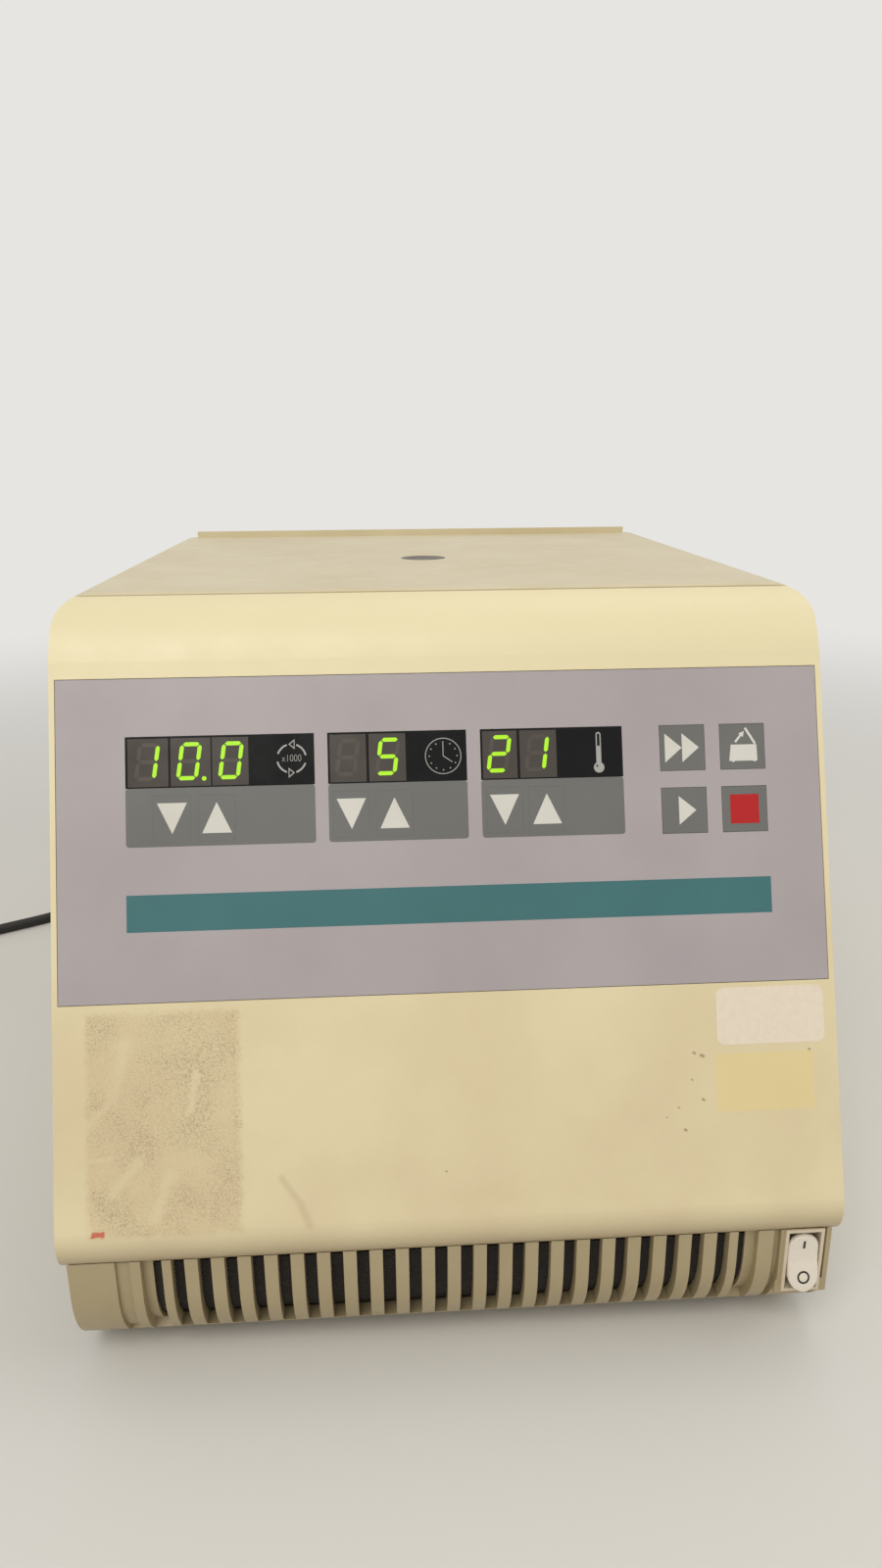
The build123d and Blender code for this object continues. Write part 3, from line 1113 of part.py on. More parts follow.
with BuildPart() as condenser:
    left = CONDENSER_X - CONDENSER_W / 2
    right = CONDENSER_X + CONDENSER_W / 2
    for x in (left, right - 2):
        block((x, x + 2), (CONDENSER_FRONT_Y, CONDENSER_BACK_Y), (TRAY_FLOOR_Z, CONDENSER_LOW_Z + CONDENSER_H))
    for n in range(1, int(CONDENSER_W / FIN_PITCH)):
        x = left + n * FIN_PITCH
        block((x, x + FIN_THICK), (CONDENSER_FRONT_Y, CONDENSER_BACK_Y),
              (CONDENSER_LOW_Z, CONDENSER_LOW_Z + CONDENSER_H))
    for row in range(6):
        rod((CONDENSER_X, (CONDENSER_FRONT_Y + CONDENSER_BACK_Y) / 2, CONDENSER_LOW_Z + 12.5 + row * 25),
            4, CONDENSER_W, rotation=(0, 90, 0))

condenser.part.label = "condenser"
export_step(condenser.part, "parts/condenser.step")

FAN_BACK_Y = CONDENSER_FRONT_Y - 0.3
FAN_FRONT_Y = FAN_BACK_Y - FAN_THICK
FAN_MID_Y = (FAN_BACK_Y + FAN_FRONT_Y) / 2
FAN_Z = TRAY_FLOOR_Z + 40 + FAN_SIZE / 2
FAN_BORE_R = FAN_SIZE / 2 - 3
AXLE_R = 2.5

with BuildPart() as fan_frame:
    block((CONDENSER_X - FAN_SIZE / 2, CONDENSER_X + FAN_SIZE / 2), (FAN_FRONT_Y, FAN_BACK_Y),
          (FAN_Z - FAN_SIZE / 2, FAN_Z + FAN_SIZE / 2))
    rod((CONDENSER_X, FAN_MID_Y, FAN_Z), FAN_BORE_R, 2 * FAN_THICK, Mode.SUBTRACT, (90, 0, 0))
    rod((CONDENSER_X, FAN_BACK_Y - 2, FAN_Z), FAN_HUB_R, 4, rotation=(90, 0, 0))
    block((CONDENSER_X - FAN_SIZE / 2, CONDENSER_X + FAN_SIZE / 2), (FAN_BACK_Y - 4, FAN_BACK_Y),
          (FAN_Z - 3, FAN_Z + 3))
    block((CONDENSER_X - 3, CONDENSER_X + 3), (FAN_BACK_Y - 4, FAN_BACK_Y),
          (FAN_Z - FAN_SIZE / 2, FAN_Z + FAN_SIZE / 2))
    rod((CONDENSER_X, FAN_MID_Y, FAN_Z), AXLE_R, FAN_THICK - 6, rotation=(90, 0, 0))
    for x in (CONDENSER_X - FAN_SIZE / 2, CONDENSER_X + FAN_SIZE / 2 - 8):
        block((x, x + 8), (FAN_FRONT_Y, FAN_BACK_Y), (TRAY_FLOOR_Z, FAN_Z - FAN_SIZE / 2 + 1))

fan_frame.part.label = "fan_frame"
export_step(fan_frame.part, "parts/fan_frame.step")

with BuildPart() as condenser_fan:
    rod((CONDENSER_X, FAN_MID_Y - 1, FAN_Z), FAN_HUB_R, FAN_THICK - 12, rotation=(90, 0, 0))
    for n in range(FAN_BLADES):
        spin = Location((CONDENSER_X, FAN_MID_Y - 1, FAN_Z)) * Rotation(0, 360 * n / FAN_BLADES, 0)
        with Locations(spin * Location((0, 0, (FAN_HUB_R + FAN_BORE_R) / 2 - 2), (0, 0, 32))):
            Box(20, 1.8, FAN_BORE_R - FAN_HUB_R)
    rod((CONDENSER_X, FAN_MID_Y, FAN_Z), AXLE_R + RUN_FIT, 3 * FAN_THICK, Mode.SUBTRACT, (90, 0, 0))

condenser_fan.part.label = "condenser_fan"
export_step(condenser_fan.part, "parts/condenser_fan.step")

DRIER_X = STUB_LOW_X
DRIER_Y = 175.0
DRIER_Z = (60.0, 140.0)
DRIER_R = 9.0

LINE_BEND = 8.0
LINE_PATHS = [
    [(COMPRESSOR_X, COMPRESSOR_Y + COMPRESSOR_R, 90), (COMPRESSOR_X, 226, 90), (COMPRESSOR_X, 226, 190),
     (COMPRESSOR_X, 252, 190), (left, 252, 190)],
    [(left, 252, 75), (left - 14, 252, 75), (left - 14, 207, 75), (DRIER_X, 207, 75), (DRIER_X, 207, 45),
     (DRIER_X, DRIER_Y, 45), (DRIER_X, DRIER_Y, DRIER_Z[0])],
    [(DRIER_X, DRIER_Y, DRIER_Z[1]), (DRIER_X, DRIER_Y, EVAP_LOW_Z), (DRIER_X, STUB_END_Y, EVAP_LOW_Z)],
    [(STUB_HIGH_X, STUB_END_Y, EVAP_HIGH_Z), (STUB_HIGH_X, COMPRESSOR_Y, EVAP_HIGH_Z),
     (COMPRESSOR_X, COMPRESSOR_Y, EVAP_HIGH_Z), (COMPRESSOR_X, COMPRESSOR_Y, COMPRESSOR_TOP_Z)],
]


def bent_tube(points: list, radius: float, bends: list) -> Part:
    """Round tube along straight runs joined by tangent arcs."""
    with BuildPart() as tube:
        with BuildLine() as path:
            FilletPolyline(*points, radius=bends)
        start = path.line @ 0
        with BuildSketch(Plane(origin=start, z_dir=path.line % 0)):
            Circle(radius)
        sweep()
    return tube.part


with BuildPart() as refrigerant_lines:
    for points in LINE_PATHS:
        add(bent_tube(points, COIL_TUBE_R - 0.2, [LINE_BEND] * (len(points) - 2)))
    # Filter drier brazed between two of the lines
    with BuildPart(mode=Mode.PRIVATE) as drier:
        rod((DRIER_X, DRIER_Y, sum(DRIER_Z) / 2), DRIER_R, DRIER_Z[1] - DRIER_Z[0])
        fillet(drier.edges().filter_by(GeomType.CIRCLE), 5)
    add(drier.part)

refrigerant_lines.part.label = "refrigerant_lines"
export_step(refrigerant_lines.part, "parts/refrigerant_lines.step")


# Power: supply box on the tray, inlet in the rear cover

with BuildPart() as power_supply:
    block((40, 125), (-10 + COVER_FRONT_Y - 10, 195), (TRAY_FLOOR_Z, TRAY_FLOOR_Z + 62))
    block((52, 112), (115, 175), (TRAY_FLOOR_Z + 62, TRAY_FLOOR_Z + 84))

power_supply.part.label = "power_supply"
export_step(power_supply.part, "parts/power_supply.step")

INLET_LIP = 3.5
SOCKET_W = 24.6
SOCKET_H = 16.6
SOCKET_DEEP = 17.0

with BuildPart() as power_inlet:
    block((INLET_X - INLET_W / 2 + 0.3, INLET_X + INLET_W / 2 - 0.3), (BACK_Y - 30, BACK_Y),
          (INLET_Z - INLET_H / 2 + 0.3, INLET_Z + INLET_H / 2 - 0.3))
    block((INLET_X - INLET_W / 2 - INLET_LIP, INLET_X + INLET_W / 2 + INLET_LIP),
          (BACK_Y - COVER_WALL - 3, BACK_Y - COVER_WALL),
          (INLET_Z - INLET_H / 2 - INLET_LIP, INLET_Z + INLET_H / 2 + INLET_LIP))
    block((INLET_X - SOCKET_W / 2, INLET_X + SOCKET_W / 2), (BACK_Y - SOCKET_DEEP, BACK_Y + 1),
          (INLET_Z - SOCKET_H / 2, INLET_Z + SOCKET_H / 2), Mode.SUBTRACT)

power_inlet.part.label = "power_inlet"
export_step(power_inlet.part, "parts/power_inlet.step")


# Mains connector in the inlet, with a tapered strain relief

RELIEF_START_Y = BACK_Y + 25.0
CORD_START_Y = RELIEF_START_Y + 26.0

with BuildPart() as cord_connector:
    block((INLET_X - SOCKET_W / 2 + 0.3, INLET_X + SOCKET_W / 2 - 0.3), (BACK_Y - SOCKET_DEEP + 0.3, BACK_Y + 3),
          (INLET_Z - SOCKET_H / 2 + 0.3, INLET_Z + SOCKET_H / 2 - 0.3))
    with BuildSketch(Plane.XZ.offset(-BACK_Y - 0.5)):
        with Locations((INLET_X, INLET_Z)):
            RectangleRounded(INLET_W - 1, INLET_H - 2, 3)
    extrude(amount=-(RELIEF_START_Y - BACK_Y - 0.5))
    with BuildSketch(Plane.XZ.offset(-RELIEF_START_Y)):
        with Locations((INLET_X, INLET_Z)):
            Circle(8.5)
    with BuildSketch(Plane.XZ.offset(-CORD_START_Y)):
        with Locations((INLET_X, INLET_Z)):
            Circle(CORD_D / 2 + 1.2)
    loft()

cord_connector.part.label = "cord_connector"
export_step(cord_connector.part, "parts/cord_connector.step")


# Mains cord: free stretch from the connector down to the table and round to the left side

CORD_R = CORD_D / 2
CORD_ROUTE = [
    (INLET_X, CORD_START_Y, INLET_Z), (-95.0, 366.0, INLET_Z), (-99.0, 410.0, 44.0), (-118.0, 446.0, 14.0),
    (-160.0, 462.0, CORD_R), (-206.0, 448.0, CORD_R), (-238.0, 412.0, CORD_R), (-246.0, 352.0, CORD_R),
    (-232.0, 282.0, CORD_R), (-228.0, 214.0, CORD_R), (-247.0, 165.0, CORD_R), (-335.0, 115.0, CORD_R),
    (-373.6, 80.2, CORD_R),
]
COIL_OUT_R = COIL_MID_R + COIL_LOOPS * COIL_STEP / 2
COIL_IN_R = COIL_MID_R - COIL_LOOPS * COIL_STEP / 2


def route_radii(points: list) -> list:
    """Bend radii of a route: 0.45 of the shorter run over the tangent of half the turn."""
    radii = []
    for before, corner, after in zip(points, points[1:], points[2:]):
        first = Vector(*corner) - Vector(*before)
        second = Vector(*after) - Vector(*corner)
        turn = radians(first.get_angle(second))
        radii.append(0.45 * min(first.length, second.length) / tan(turn / 2))
    return radii


def cord_tube(points: list) -> Part:
    """Free stretch of the cord along a route; prints its radii and checks its volume."""
    radii = route_radii(points)
    tube = bent_tube(points, CORD_R, radii)
    with BuildLine() as path:
        FilletPolyline(*points, radius=radii)
    expected = pi * CORD_R ** 2 * sum(edge.length for edge in path.edges())
    print("cord radii", [round(radius) for radius in radii], "volume ratio", round(tube.volume / expected, 4))
    return tube


with BuildPart() as mains_cord:
    add(cord_tube(CORD_ROUTE))

mains_cord.part.label = "mains_cord"
export_step(mains_cord.part, "parts/mains_cord.step")


# Cord coil: two layers of loops, spiralling in, climbing a layer and spiralling out

COIL_TURN = 2 * pi
TURN_RATE = COIL_STEP / COIL_TURN
ENTRY = radians(COIL_ENTRY_ANGLE)
COIL_START_ANGLE = ENTRY - atan2(COIL_OUT_R, -TURN_RATE)
COIL_REVERSE = COIL_LOOPS * COIL_TURN
COIL_END = COIL_REVERSE + pi + COIL_LAST_TURNS * COIL_TURN
COIL_FIRST = Vector(*CORD_ROUTE[-1]) + Vector(cos(ENTRY), sin(ENTRY), 0) * CORD_D
COIL_X = COIL_FIRST.X - COIL_OUT_R * cos(COIL_START_ANGLE)
COIL_Y = COIL_FIRST.Y - COIL_OUT_R * sin(COIL_START_ANGLE)


def coil_state(turned: float) -> tuple:
    """Radius, height and their rates at an angle wound along the coil."""
    if turned <= COIL_REVERSE:
        return COIL_OUT_R - TURN_RATE * turned, CORD_R, -TURN_RATE, 0.0
    if turned < COIL_REVERSE + pi:
        part = turned - COIL_REVERSE
        radius = COIL_IN_R - TURN_RATE * (part - part ** 2 / pi)
        rate = -TURN_RATE * (1 - 2 * part / pi)
        return radius, CORD_R + COIL_LIFT * (1 - cos(part)) / 2, rate, COIL_LIFT * sin(part) / 2
    part = turned - COIL_REVERSE - pi
    return COIL_IN_R + TURN_RATE * part, CORD_R + COIL_LIFT, TURN_RATE, 0.0


def coil_point(turned: float) -> Vector:
    """Point on the coil's centre line."""
    radius, height, _, _ = coil_state(turned)
    angle = COIL_START_ANGLE + turned
    return Vector(COIL_X + radius * cos(angle), COIL_Y + radius * sin(angle), height)


def coil_tangent(turned: float) -> Vector:
    """Direction of the coil's centre line."""
    radius, _, rate, climb = coil_state(turned)
    angle = COIL_START_ANGLE + turned
    return Vector(rate * cos(angle) - radius * sin(angle), rate * sin(angle) + radius * cos(angle),
                  climb).normalized()


def biarc(start: Vector, start_dir: Vector, end: Vector, end_dir: Vector) -> None:
    """Two tangent arcs between two points with given directions, inside the current line."""
    span = end - start
    both = start_dir + end_dir
    bend = 2 * (1 - start_dir.dot(end_dir))
    along = span.dot(both)
    reach = (-along + sqrt(along ** 2 + bend * span.dot(span))) / bend
    first = start + start_dir * reach
    second = end - end_dir * reach
    middle = (first + second) * 0.5
    TangentArc(start, middle, tangent=start_dir)
    TangentArc(middle, end, tangent=(second - first).normalized())


COIL_STEPS = [n * pi / 2 for n in range(round(COIL_END / (pi / 2)) + 1)]
COIL_LAST = coil_point(COIL_END) + coil_tangent(COIL_END) * CORD_D

with BuildPart() as cord_coil:
    with BuildLine() as coil_path:
        Line(COIL_FIRST - coil_tangent(0) * CORD_D, COIL_FIRST)
        for low, high in zip(COIL_STEPS, COIL_STEPS[1:]):
            biarc(coil_point(low), coil_tangent(low), coil_point(high), coil_tangent(high))
        Line(coil_point(COIL_END), COIL_LAST)
    with BuildSketch(Plane(origin=coil_path.line @ 0, z_dir=coil_path.line % 0)):
        Circle(CORD_R)
    sweep()

cord_coil.part.label = "cord_coil"
export_step(cord_coil.part, "parts/cord_coil.step")

coil_samples = [coil_point(COIL_END * n / 1200) for n in range(1201)]
coil_length = sum(edge.length for edge in coil_path.edges())
skip = int(1.2 * CORD_D / coil_length * 1200) + 1
nearest = min((a - b).length for i, a in enumerate(coil_samples) for b in coil_samples[i + 3 * skip::2])
print("coil least gap", round(nearest - CORD_D, 2), "volume ratio",
      round(cord_coil.part.volume / (pi * CORD_R ** 2 * coil_length), 4))


# Cord tail from the coil to the plug, and the plug

TAIL_DIR = coil_tangent(COIL_END)
TAIL_SIDE = Vector(-TAIL_DIR.Y, TAIL_DIR.X, 0)


def tail_point(along: float, aside: float, height: float) -> tuple:
    """Point beside the line on which the coil lets the cord go."""
    point = COIL_LAST + TAIL_DIR * along + TAIL_SIDE * aside
    return (point.X, point.Y, height)


COIL_TOP = CORD_R + COIL_LIFT
CORD_TAIL = [tail_point(0, 0, COIL_TOP), tail_point(30, 0, COIL_TOP), tail_point(72, -6, CORD_R),
             tail_point(116, -20, CORD_R), tail_point(156, -40, COIL_TOP), tail_point(182, -56, COIL_TOP)]

with BuildPart() as cord_tail:
    add(cord_tube(CORD_TAIL))

cord_tail.part.label = "cord_tail"
export_step(cord_tail.part, "parts/cord_tail.step")

PLUG_END = Vector(*CORD_TAIL[-1])
PLUG_DIR = (PLUG_END - Vector(*CORD_TAIL[-2])).normalized()
PLUG_PLANE = Plane(origin=PLUG_END, x_dir=(-PLUG_DIR.Y, PLUG_DIR.X, 0), z_dir=PLUG_DIR)
PLUG_W = 28.0
PLUG_H = 2 * COIL_TOP
PLUG_LENGTH = 34.0
RELIEF_LENGTH = 16.0
PIN_LENGTH = 19.0
PIN_R = 2.4
PIN_SPACING = 19.0

with BuildPart() as mains_plug:
    with BuildSketch(PLUG_PLANE):
        Circle(CORD_R + 1)
    with BuildSketch(PLUG_PLANE.offset(RELIEF_LENGTH)):
        Circle(8.5)
    loft()
    with BuildSketch(PLUG_PLANE.offset(RELIEF_LENGTH)):
        RectangleRounded(PLUG_W, PLUG_H, 7)
    extrude(amount=PLUG_LENGTH)
    with BuildSketch(PLUG_PLANE.offset(RELIEF_LENGTH + PLUG_LENGTH)):
        with Locations((-PIN_SPACING / 2, 0), (PIN_SPACING / 2, 0)):
            Circle(PIN_R)
    extrude(amount=PIN_LENGTH)

mains_plug.part.label = "mains_plug"
export_step(mains_plug.part, "parts/mains_plug.step")
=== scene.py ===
"""Looks of a refrigerated benchtop centrifuge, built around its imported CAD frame.

Lengths are given in millimetres and turned to metres where a mesh is made. The front faces -Y and the
cabinet stands on Z = 0.
"""

import logging
import math
from dataclasses import dataclass
from enum import Enum

import bmesh
import bpy
import numpy as np
from bpy.types import Material, Node, NodeSocket, NodeTree, Object
from mathutils import Matrix, Vector

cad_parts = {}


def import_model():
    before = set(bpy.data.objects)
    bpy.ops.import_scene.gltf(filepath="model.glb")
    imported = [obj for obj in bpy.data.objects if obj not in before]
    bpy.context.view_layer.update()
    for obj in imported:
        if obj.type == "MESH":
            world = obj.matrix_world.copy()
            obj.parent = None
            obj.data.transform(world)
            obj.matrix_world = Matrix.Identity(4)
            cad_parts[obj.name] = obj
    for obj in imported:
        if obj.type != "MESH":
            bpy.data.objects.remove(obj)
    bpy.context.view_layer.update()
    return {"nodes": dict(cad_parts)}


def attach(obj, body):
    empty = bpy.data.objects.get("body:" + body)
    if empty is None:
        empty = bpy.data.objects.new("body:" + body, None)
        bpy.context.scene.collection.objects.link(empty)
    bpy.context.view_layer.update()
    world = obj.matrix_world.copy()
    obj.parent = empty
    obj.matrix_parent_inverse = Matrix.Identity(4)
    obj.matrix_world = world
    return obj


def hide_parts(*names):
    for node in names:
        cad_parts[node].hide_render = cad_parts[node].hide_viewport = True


LOG = logging.getLogger("centrifuge")
MM = 0.001
TILT = math.radians(20.3)
SLOPE_TOP_Y = -202.131
SLOPE_TOP_Z = 261.796
ROTOR_Y = -58.3
COAT_ROUGHNESS = 0.06
WEAR_FINER = 3.7
RAGGED_SCALE = 260.0
PRINT_SINK = -0.02
PRINT_THICK = 0.07
LETTER_THINNED = -0.07


class Grain(Enum):
    """How a surface was made, which decides its relief."""

    MOULDED = "moulded leather grain"
    SATIN = "fine satin of a film or a light spark finish"
    TURNED = "rings left by a lathe about the rotor's axis"
    CAST = "uneven skin of a casting or of thick paint"
    WOVEN = "woven wire or thread"
    FOAM = "cells of foam"
    FINS = "packed thin sheets"
    GLOSS = "smooth polished skin"


def linear(code: str) -> tuple:
    """Turns an sRGB hex colour to linear light.

    Args:
        code: colour such as "E3D9B4".

    Returns:
        Linear red, green and blue, and a full alpha.
    """
    parts = np.array([int(code[n:n + 2], 16) for n in (0, 2, 4)]) / 255
    light = np.where(parts <= 0.04045, parts / 12.92, ((parts + 0.055) / 1.055) ** 2.4)
    return (*light.tolist(), 1.0)


def add(tree: NodeTree, kind: str, inputs: dict = None, **settings) -> Node:
    """Adds a node with its settings and links.

    Args:
        tree: node tree to add to.
        kind: node type without its "ShaderNode" start.
        inputs: value, or socket to link from, for each input by name or number.
        settings: the node's own properties.

    Returns:
        The new node.
    """
    node = tree.nodes.new("ShaderNode" + kind)
    for name, value in settings.items():
        setattr(node, name, value)
    for key, value in (inputs or {}).items():
        if isinstance(value, NodeSocket):
            tree.links.new(value, node.inputs[key])
        else:
            node.inputs[key].default_value = value
    return node


def linked(name: str, data: bpy.types.ID) -> Object:
    """Makes an object that holds a mesh, curve, text, lamp or camera, and puts it into the scene."""
    thing = bpy.data.objects.new(name, data)
    bpy.context.scene.collection.objects.link(thing)
    return thing


def new_mesh(name: str, points: np.ndarray, faces: list) -> Object:
    """Makes a smooth object at the origin from points in millimetres.

    Args:
        name: the object's name.
        points: rows of x, y, z in millimetres.
        faces: point numbers of each face.

    Returns:
        The linked object.
    """
    mesh = bpy.data.meshes.new(name)
    mesh.from_pydata((np.asarray(points) * MM).tolist(), [], faces)
    mesh.update()
    mesh.polygons.foreach_set("use_smooth", [True] * len(mesh.polygons))
    return linked(name, mesh)


def grid_faces(rows: int, columns: int) -> list:
    """Quads of a grid whose points are numbered row by row.

    Args:
        rows: rows of points.
        columns: points in each row; each row closes on itself.

    Returns:
        Lists of four point numbers.
    """
    row = np.arange(rows - 1)[:, None]
    column = np.arange(columns)[None, :]
    after = (column + 1) % columns
    below = row + 1
    quads = np.stack(np.broadcast_arrays(row * columns + column, row * columns + after,
                                         below * columns + after, below * columns + column), axis=-1)
    return quads.reshape(-1, 4).tolist()


def slope_point(x: np.ndarray, down: np.ndarray, out: float) -> np.ndarray:
    """Points on the slanted front: x across, a distance down the slope, and a height off it.

    The slope falls from its top line at the cabinet's tilt, so y = top y - down sin t - out cos t
    and z = top z - down cos t + out sin t.
    """
    y = SLOPE_TOP_Y - down * math.sin(TILT) - out * math.cos(TILT)
    z = SLOPE_TOP_Z - down * math.cos(TILT) + out * math.sin(TILT)
    return np.stack(np.broadcast_arrays(x, y, z), axis=-1)


@dataclass
class Look:
    """The sockets that give a surface its colour, roughness and relief."""

    colour: NodeSocket
    rough: NodeSocket
    height: NodeSocket


@dataclass(frozen=True)
class Finish:
    """One finish: its colour and shade, how shiny it is and the relief its making left."""

    name: str
    colour: str
    shade: str
    roughness: float
    grain: Grain = Grain.SATIN
    grain_mm: float = 0.6
    relief_mm: float = 0.01
    metallic: float = 0.0
    ior: float = 1.5
    patch_mm: float = 45.0
    rough_swing: float = 0.08
    coat: float = 0.0

    def material(self) -> Material:
        """Builds the finish once and returns it after that."""
        known = bpy.data.materials.get(self.name)
        if known:
            return known
        made = bpy.data.materials.new(self.name)
        made.use_nodes = True
        tree = made.node_tree
        tree.nodes.clear()
        place = add(tree, "TexCoord").outputs["Object"]
        soft = add(tree, "TexNoise", {"Vector": place, "Scale": 1 / (self.patch_mm * MM), "Detail": 4.0})
        wear = add(tree, "TexNoise", {"Vector": place, "Scale": WEAR_FINER / (self.patch_mm * MM),
                                      "Detail": 6.0, "Roughness": 0.65})
        blotch = add(tree, "MapRange", {"Value": soft.outputs["Fac"], "From Min": 0.35, "From Max": 0.68})
        colour = add(tree, "Mix", {0: blotch.outputs[0], 6: linear(self.colour), 7: linear(self.shade)},
                     data_type="RGBA").outputs[2]
        rough = add(tree, "MapRange", {"Value": wear.outputs["Fac"], "From Min": 0.3, "From Max": 0.7,
                                       "To Min": max(0.02, self.roughness - self.rough_swing),
                                       "To Max": min(1.0, self.roughness + self.rough_swing)}).outputs[0]
        look = Look(colour, rough, self.relief(tree, place))
        self.marks(tree, place, look)
        bump = add(tree, "Bump", {"Strength": 1.0, "Distance": self.relief_mm * MM, "Height": look.height})
        skin = add(tree, "BsdfPrincipled", {
            "Base Color": look.colour, "Roughness": look.rough, "Normal": bump.outputs[0],
            "Metallic": self.metallic,
            "IOR": self.ior, "Coat Weight": self.coat, "Coat Roughness": COAT_ROUGHNESS})
        end = add(tree, "OutputMaterial")
        tree.links.new(skin.outputs[0], end.inputs["Surface"])
        return made

    def relief(self, tree: NodeTree, place: NodeSocket) -> NodeSocket:
        """Height pattern of the grain, from 0 to about 1.

        Args:
            tree: the material's tree.
            place: object coordinates.

        Returns:
            The socket with the height.
        """
        scale = 1 / (self.grain_mm * MM)
        if self.grain is Grain.MOULDED:
            cells = add(tree, "TexVoronoi", {"Vector": place, "Scale": scale, "Smoothness": 0.6},
                        feature="SMOOTH_F1")
            fine = add(tree, "TexNoise", {"Vector": place, "Scale": 2.3 * scale, "Detail": 2.0})
            return add(tree, "Math", {0: cells.outputs["Distance"], 1: fine.outputs["Fac"]},
                       operation="MULTIPLY").outputs[0]
        if self.grain is Grain.TURNED:
            centre = add(tree, "Mapping", {"Vector": place, "Location": (0, -ROTOR_Y * MM, 0)})
            split = add(tree, "SeparateXYZ", {0: centre.outputs[0]})
            flat = add(tree, "CombineXYZ", {0: split.outputs[0], 1: split.outputs[1]})
            radius = add(tree, "VectorMath", {0: flat.outputs[0]}, operation="LENGTH")
            rings = add(tree, "CombineXYZ", {0: radius.outputs["Value"], 1: split.outputs[2]})
            return add(tree, "TexNoise", {"Vector": rings.outputs[0], "Scale": scale, "Detail": 4.0},
                       noise_dimensions="2D").outputs["Fac"]
        if self.grain in (Grain.WOVEN, Grain.FINS):
            split = add(tree, "SeparateXYZ", {0: place})
            peak = 1.0
            for number in (0, 2) if self.grain is Grain.WOVEN else (0,):
                turns = add(tree, "Math", {0: split.outputs[number], 1: 2 * math.pi * scale},
                            operation="MULTIPLY")
                wave = add(tree, "Math", {0: turns.outputs[0]}, operation="SINE")
                peak = add(tree, "Math", {0: wave.outputs[0], 1: peak}, operation="MULTIPLY").outputs[0]
            return add(tree, "MapRange", {"Value": peak, "From Min": -1.0}).outputs[0]
        if self.grain is Grain.FOAM:
            return add(tree, "TexVoronoi", {"Vector": place, "Scale": scale}).outputs["Distance"]
        detail = {Grain.SATIN: 3.0, Grain.CAST: 6.0, Grain.GLOSS: 1.0}[self.grain]
        return add(tree, "TexNoise", {"Vector": place, "Scale": scale, "Detail": detail}).outputs["Fac"]

    def marks(self, tree: NodeTree, place: NodeSocket, look: Look) -> None:
        """What use has left on the surface; a plain finish has nothing more.

        Args:
            tree: the material's tree.
            place: object coordinates.
            look: the look so far, which the marks change.
        """


@dataclass(frozen=True)
class Patch:
    """An upright rectangle on the front in which the surface differs, in millimetres."""

    left: float
    right: float
    low: float
    high: float
    soft: float = 2.0
    ragged: float = 3.0

    def mask(self, tree: NodeTree, place: NodeSocket) -> NodeSocket:
        """Mask that is 1 inside the patch and fades out over its ragged edge.

        Each side gives a ramp in x or z, and the mask is the product of the four.
        """
        stir = add(tree, "TexNoise", {"Vector": place, "Scale": RAGGED_SCALE, "Detail": 5.0})
        shift = add(tree, "VectorMath", {0: stir.outputs["Color"], 1: (0.5, 0.5, 0.5)}, operation="SUBTRACT")
        push = add(tree, "VectorMath", {0: shift.outputs[0], 3: self.ragged * 2 * MM}, operation="SCALE")
        moved = add(tree, "VectorMath", {0: place, 1: push.outputs[0]}, operation="ADD")
        split = add(tree, "SeparateXYZ", {0: moved.outputs[0]})
        whole = None
        for number, edge, way in ((0, self.left, 1), (0, self.right, -1), (2, self.low, 1),
                                  (2, self.high, -1)):
            ramp = add(tree, "MapRange", {
                "Value": split.outputs[number], "From Min": (edge - way * self.soft / 2) * MM,
                "From Max": (edge + way * self.soft / 2) * MM}, interpolation_type="SMOOTHSTEP").outputs[0]
            whole = ramp if whole is None else add(tree, "Math", {0: whole, 1: ramp},
                                                   operation="MULTIPLY").outputs[0]
        return whole


@dataclass(frozen=True)
class Streak:
    """A straight smear on the front from one point (x, z) to another, in millimetres."""

    start: tuple
    end: tuple
    half: float

    def mask(self, tree: NodeTree, place: NodeSocket) -> NodeSocket:
        """Mask that is 1 along the smear and fades out at its sides.

        The place on the line is the projection of the point on it, kept between the two ends.
        """
        first = Vector((self.start[0], 0, self.start[1])) * MM
        along = Vector((self.end[0], 0, self.end[1])) * MM - first
        flat = add(tree, "VectorMath", {0: place, 1: (1.0, 0.0, 1.0)}, operation="MULTIPLY")
        reach = add(tree, "VectorMath", {0: flat.outputs[0], 1: first[:]}, operation="SUBTRACT").outputs[0]
        share = add(tree, "VectorMath", {0: reach, 1: (along / along.length_squared)[:]},
                    operation="DOT_PRODUCT").outputs["Value"]
        kept = add(tree, "Math", {0: share, 1: 0.0}, operation="ADD", use_clamp=True).outputs[0]
        nearest = add(tree, "VectorMath", {0: along[:], 3: kept}, operation="SCALE").outputs[0]
        off = add(tree, "VectorMath", {0: reach, 1: nearest}, operation="DISTANCE").outputs["Value"]
        return add(tree, "MapRange", {"Value": off, "From Min": 0.1 * self.half * MM,
                                      "From Max": 1.7 * self.half * MM, "To Min": 1.0, "To Max": 0.0},
                   interpolation_type="SMOOTHSTEP").outputs[0]


def spot(x: float, z: float, half: float) -> Streak:
    """A small dark chip: a smear as long as it is wide."""
    return Streak((x, z), (x + half, z - half / 2), 0.7 * half)


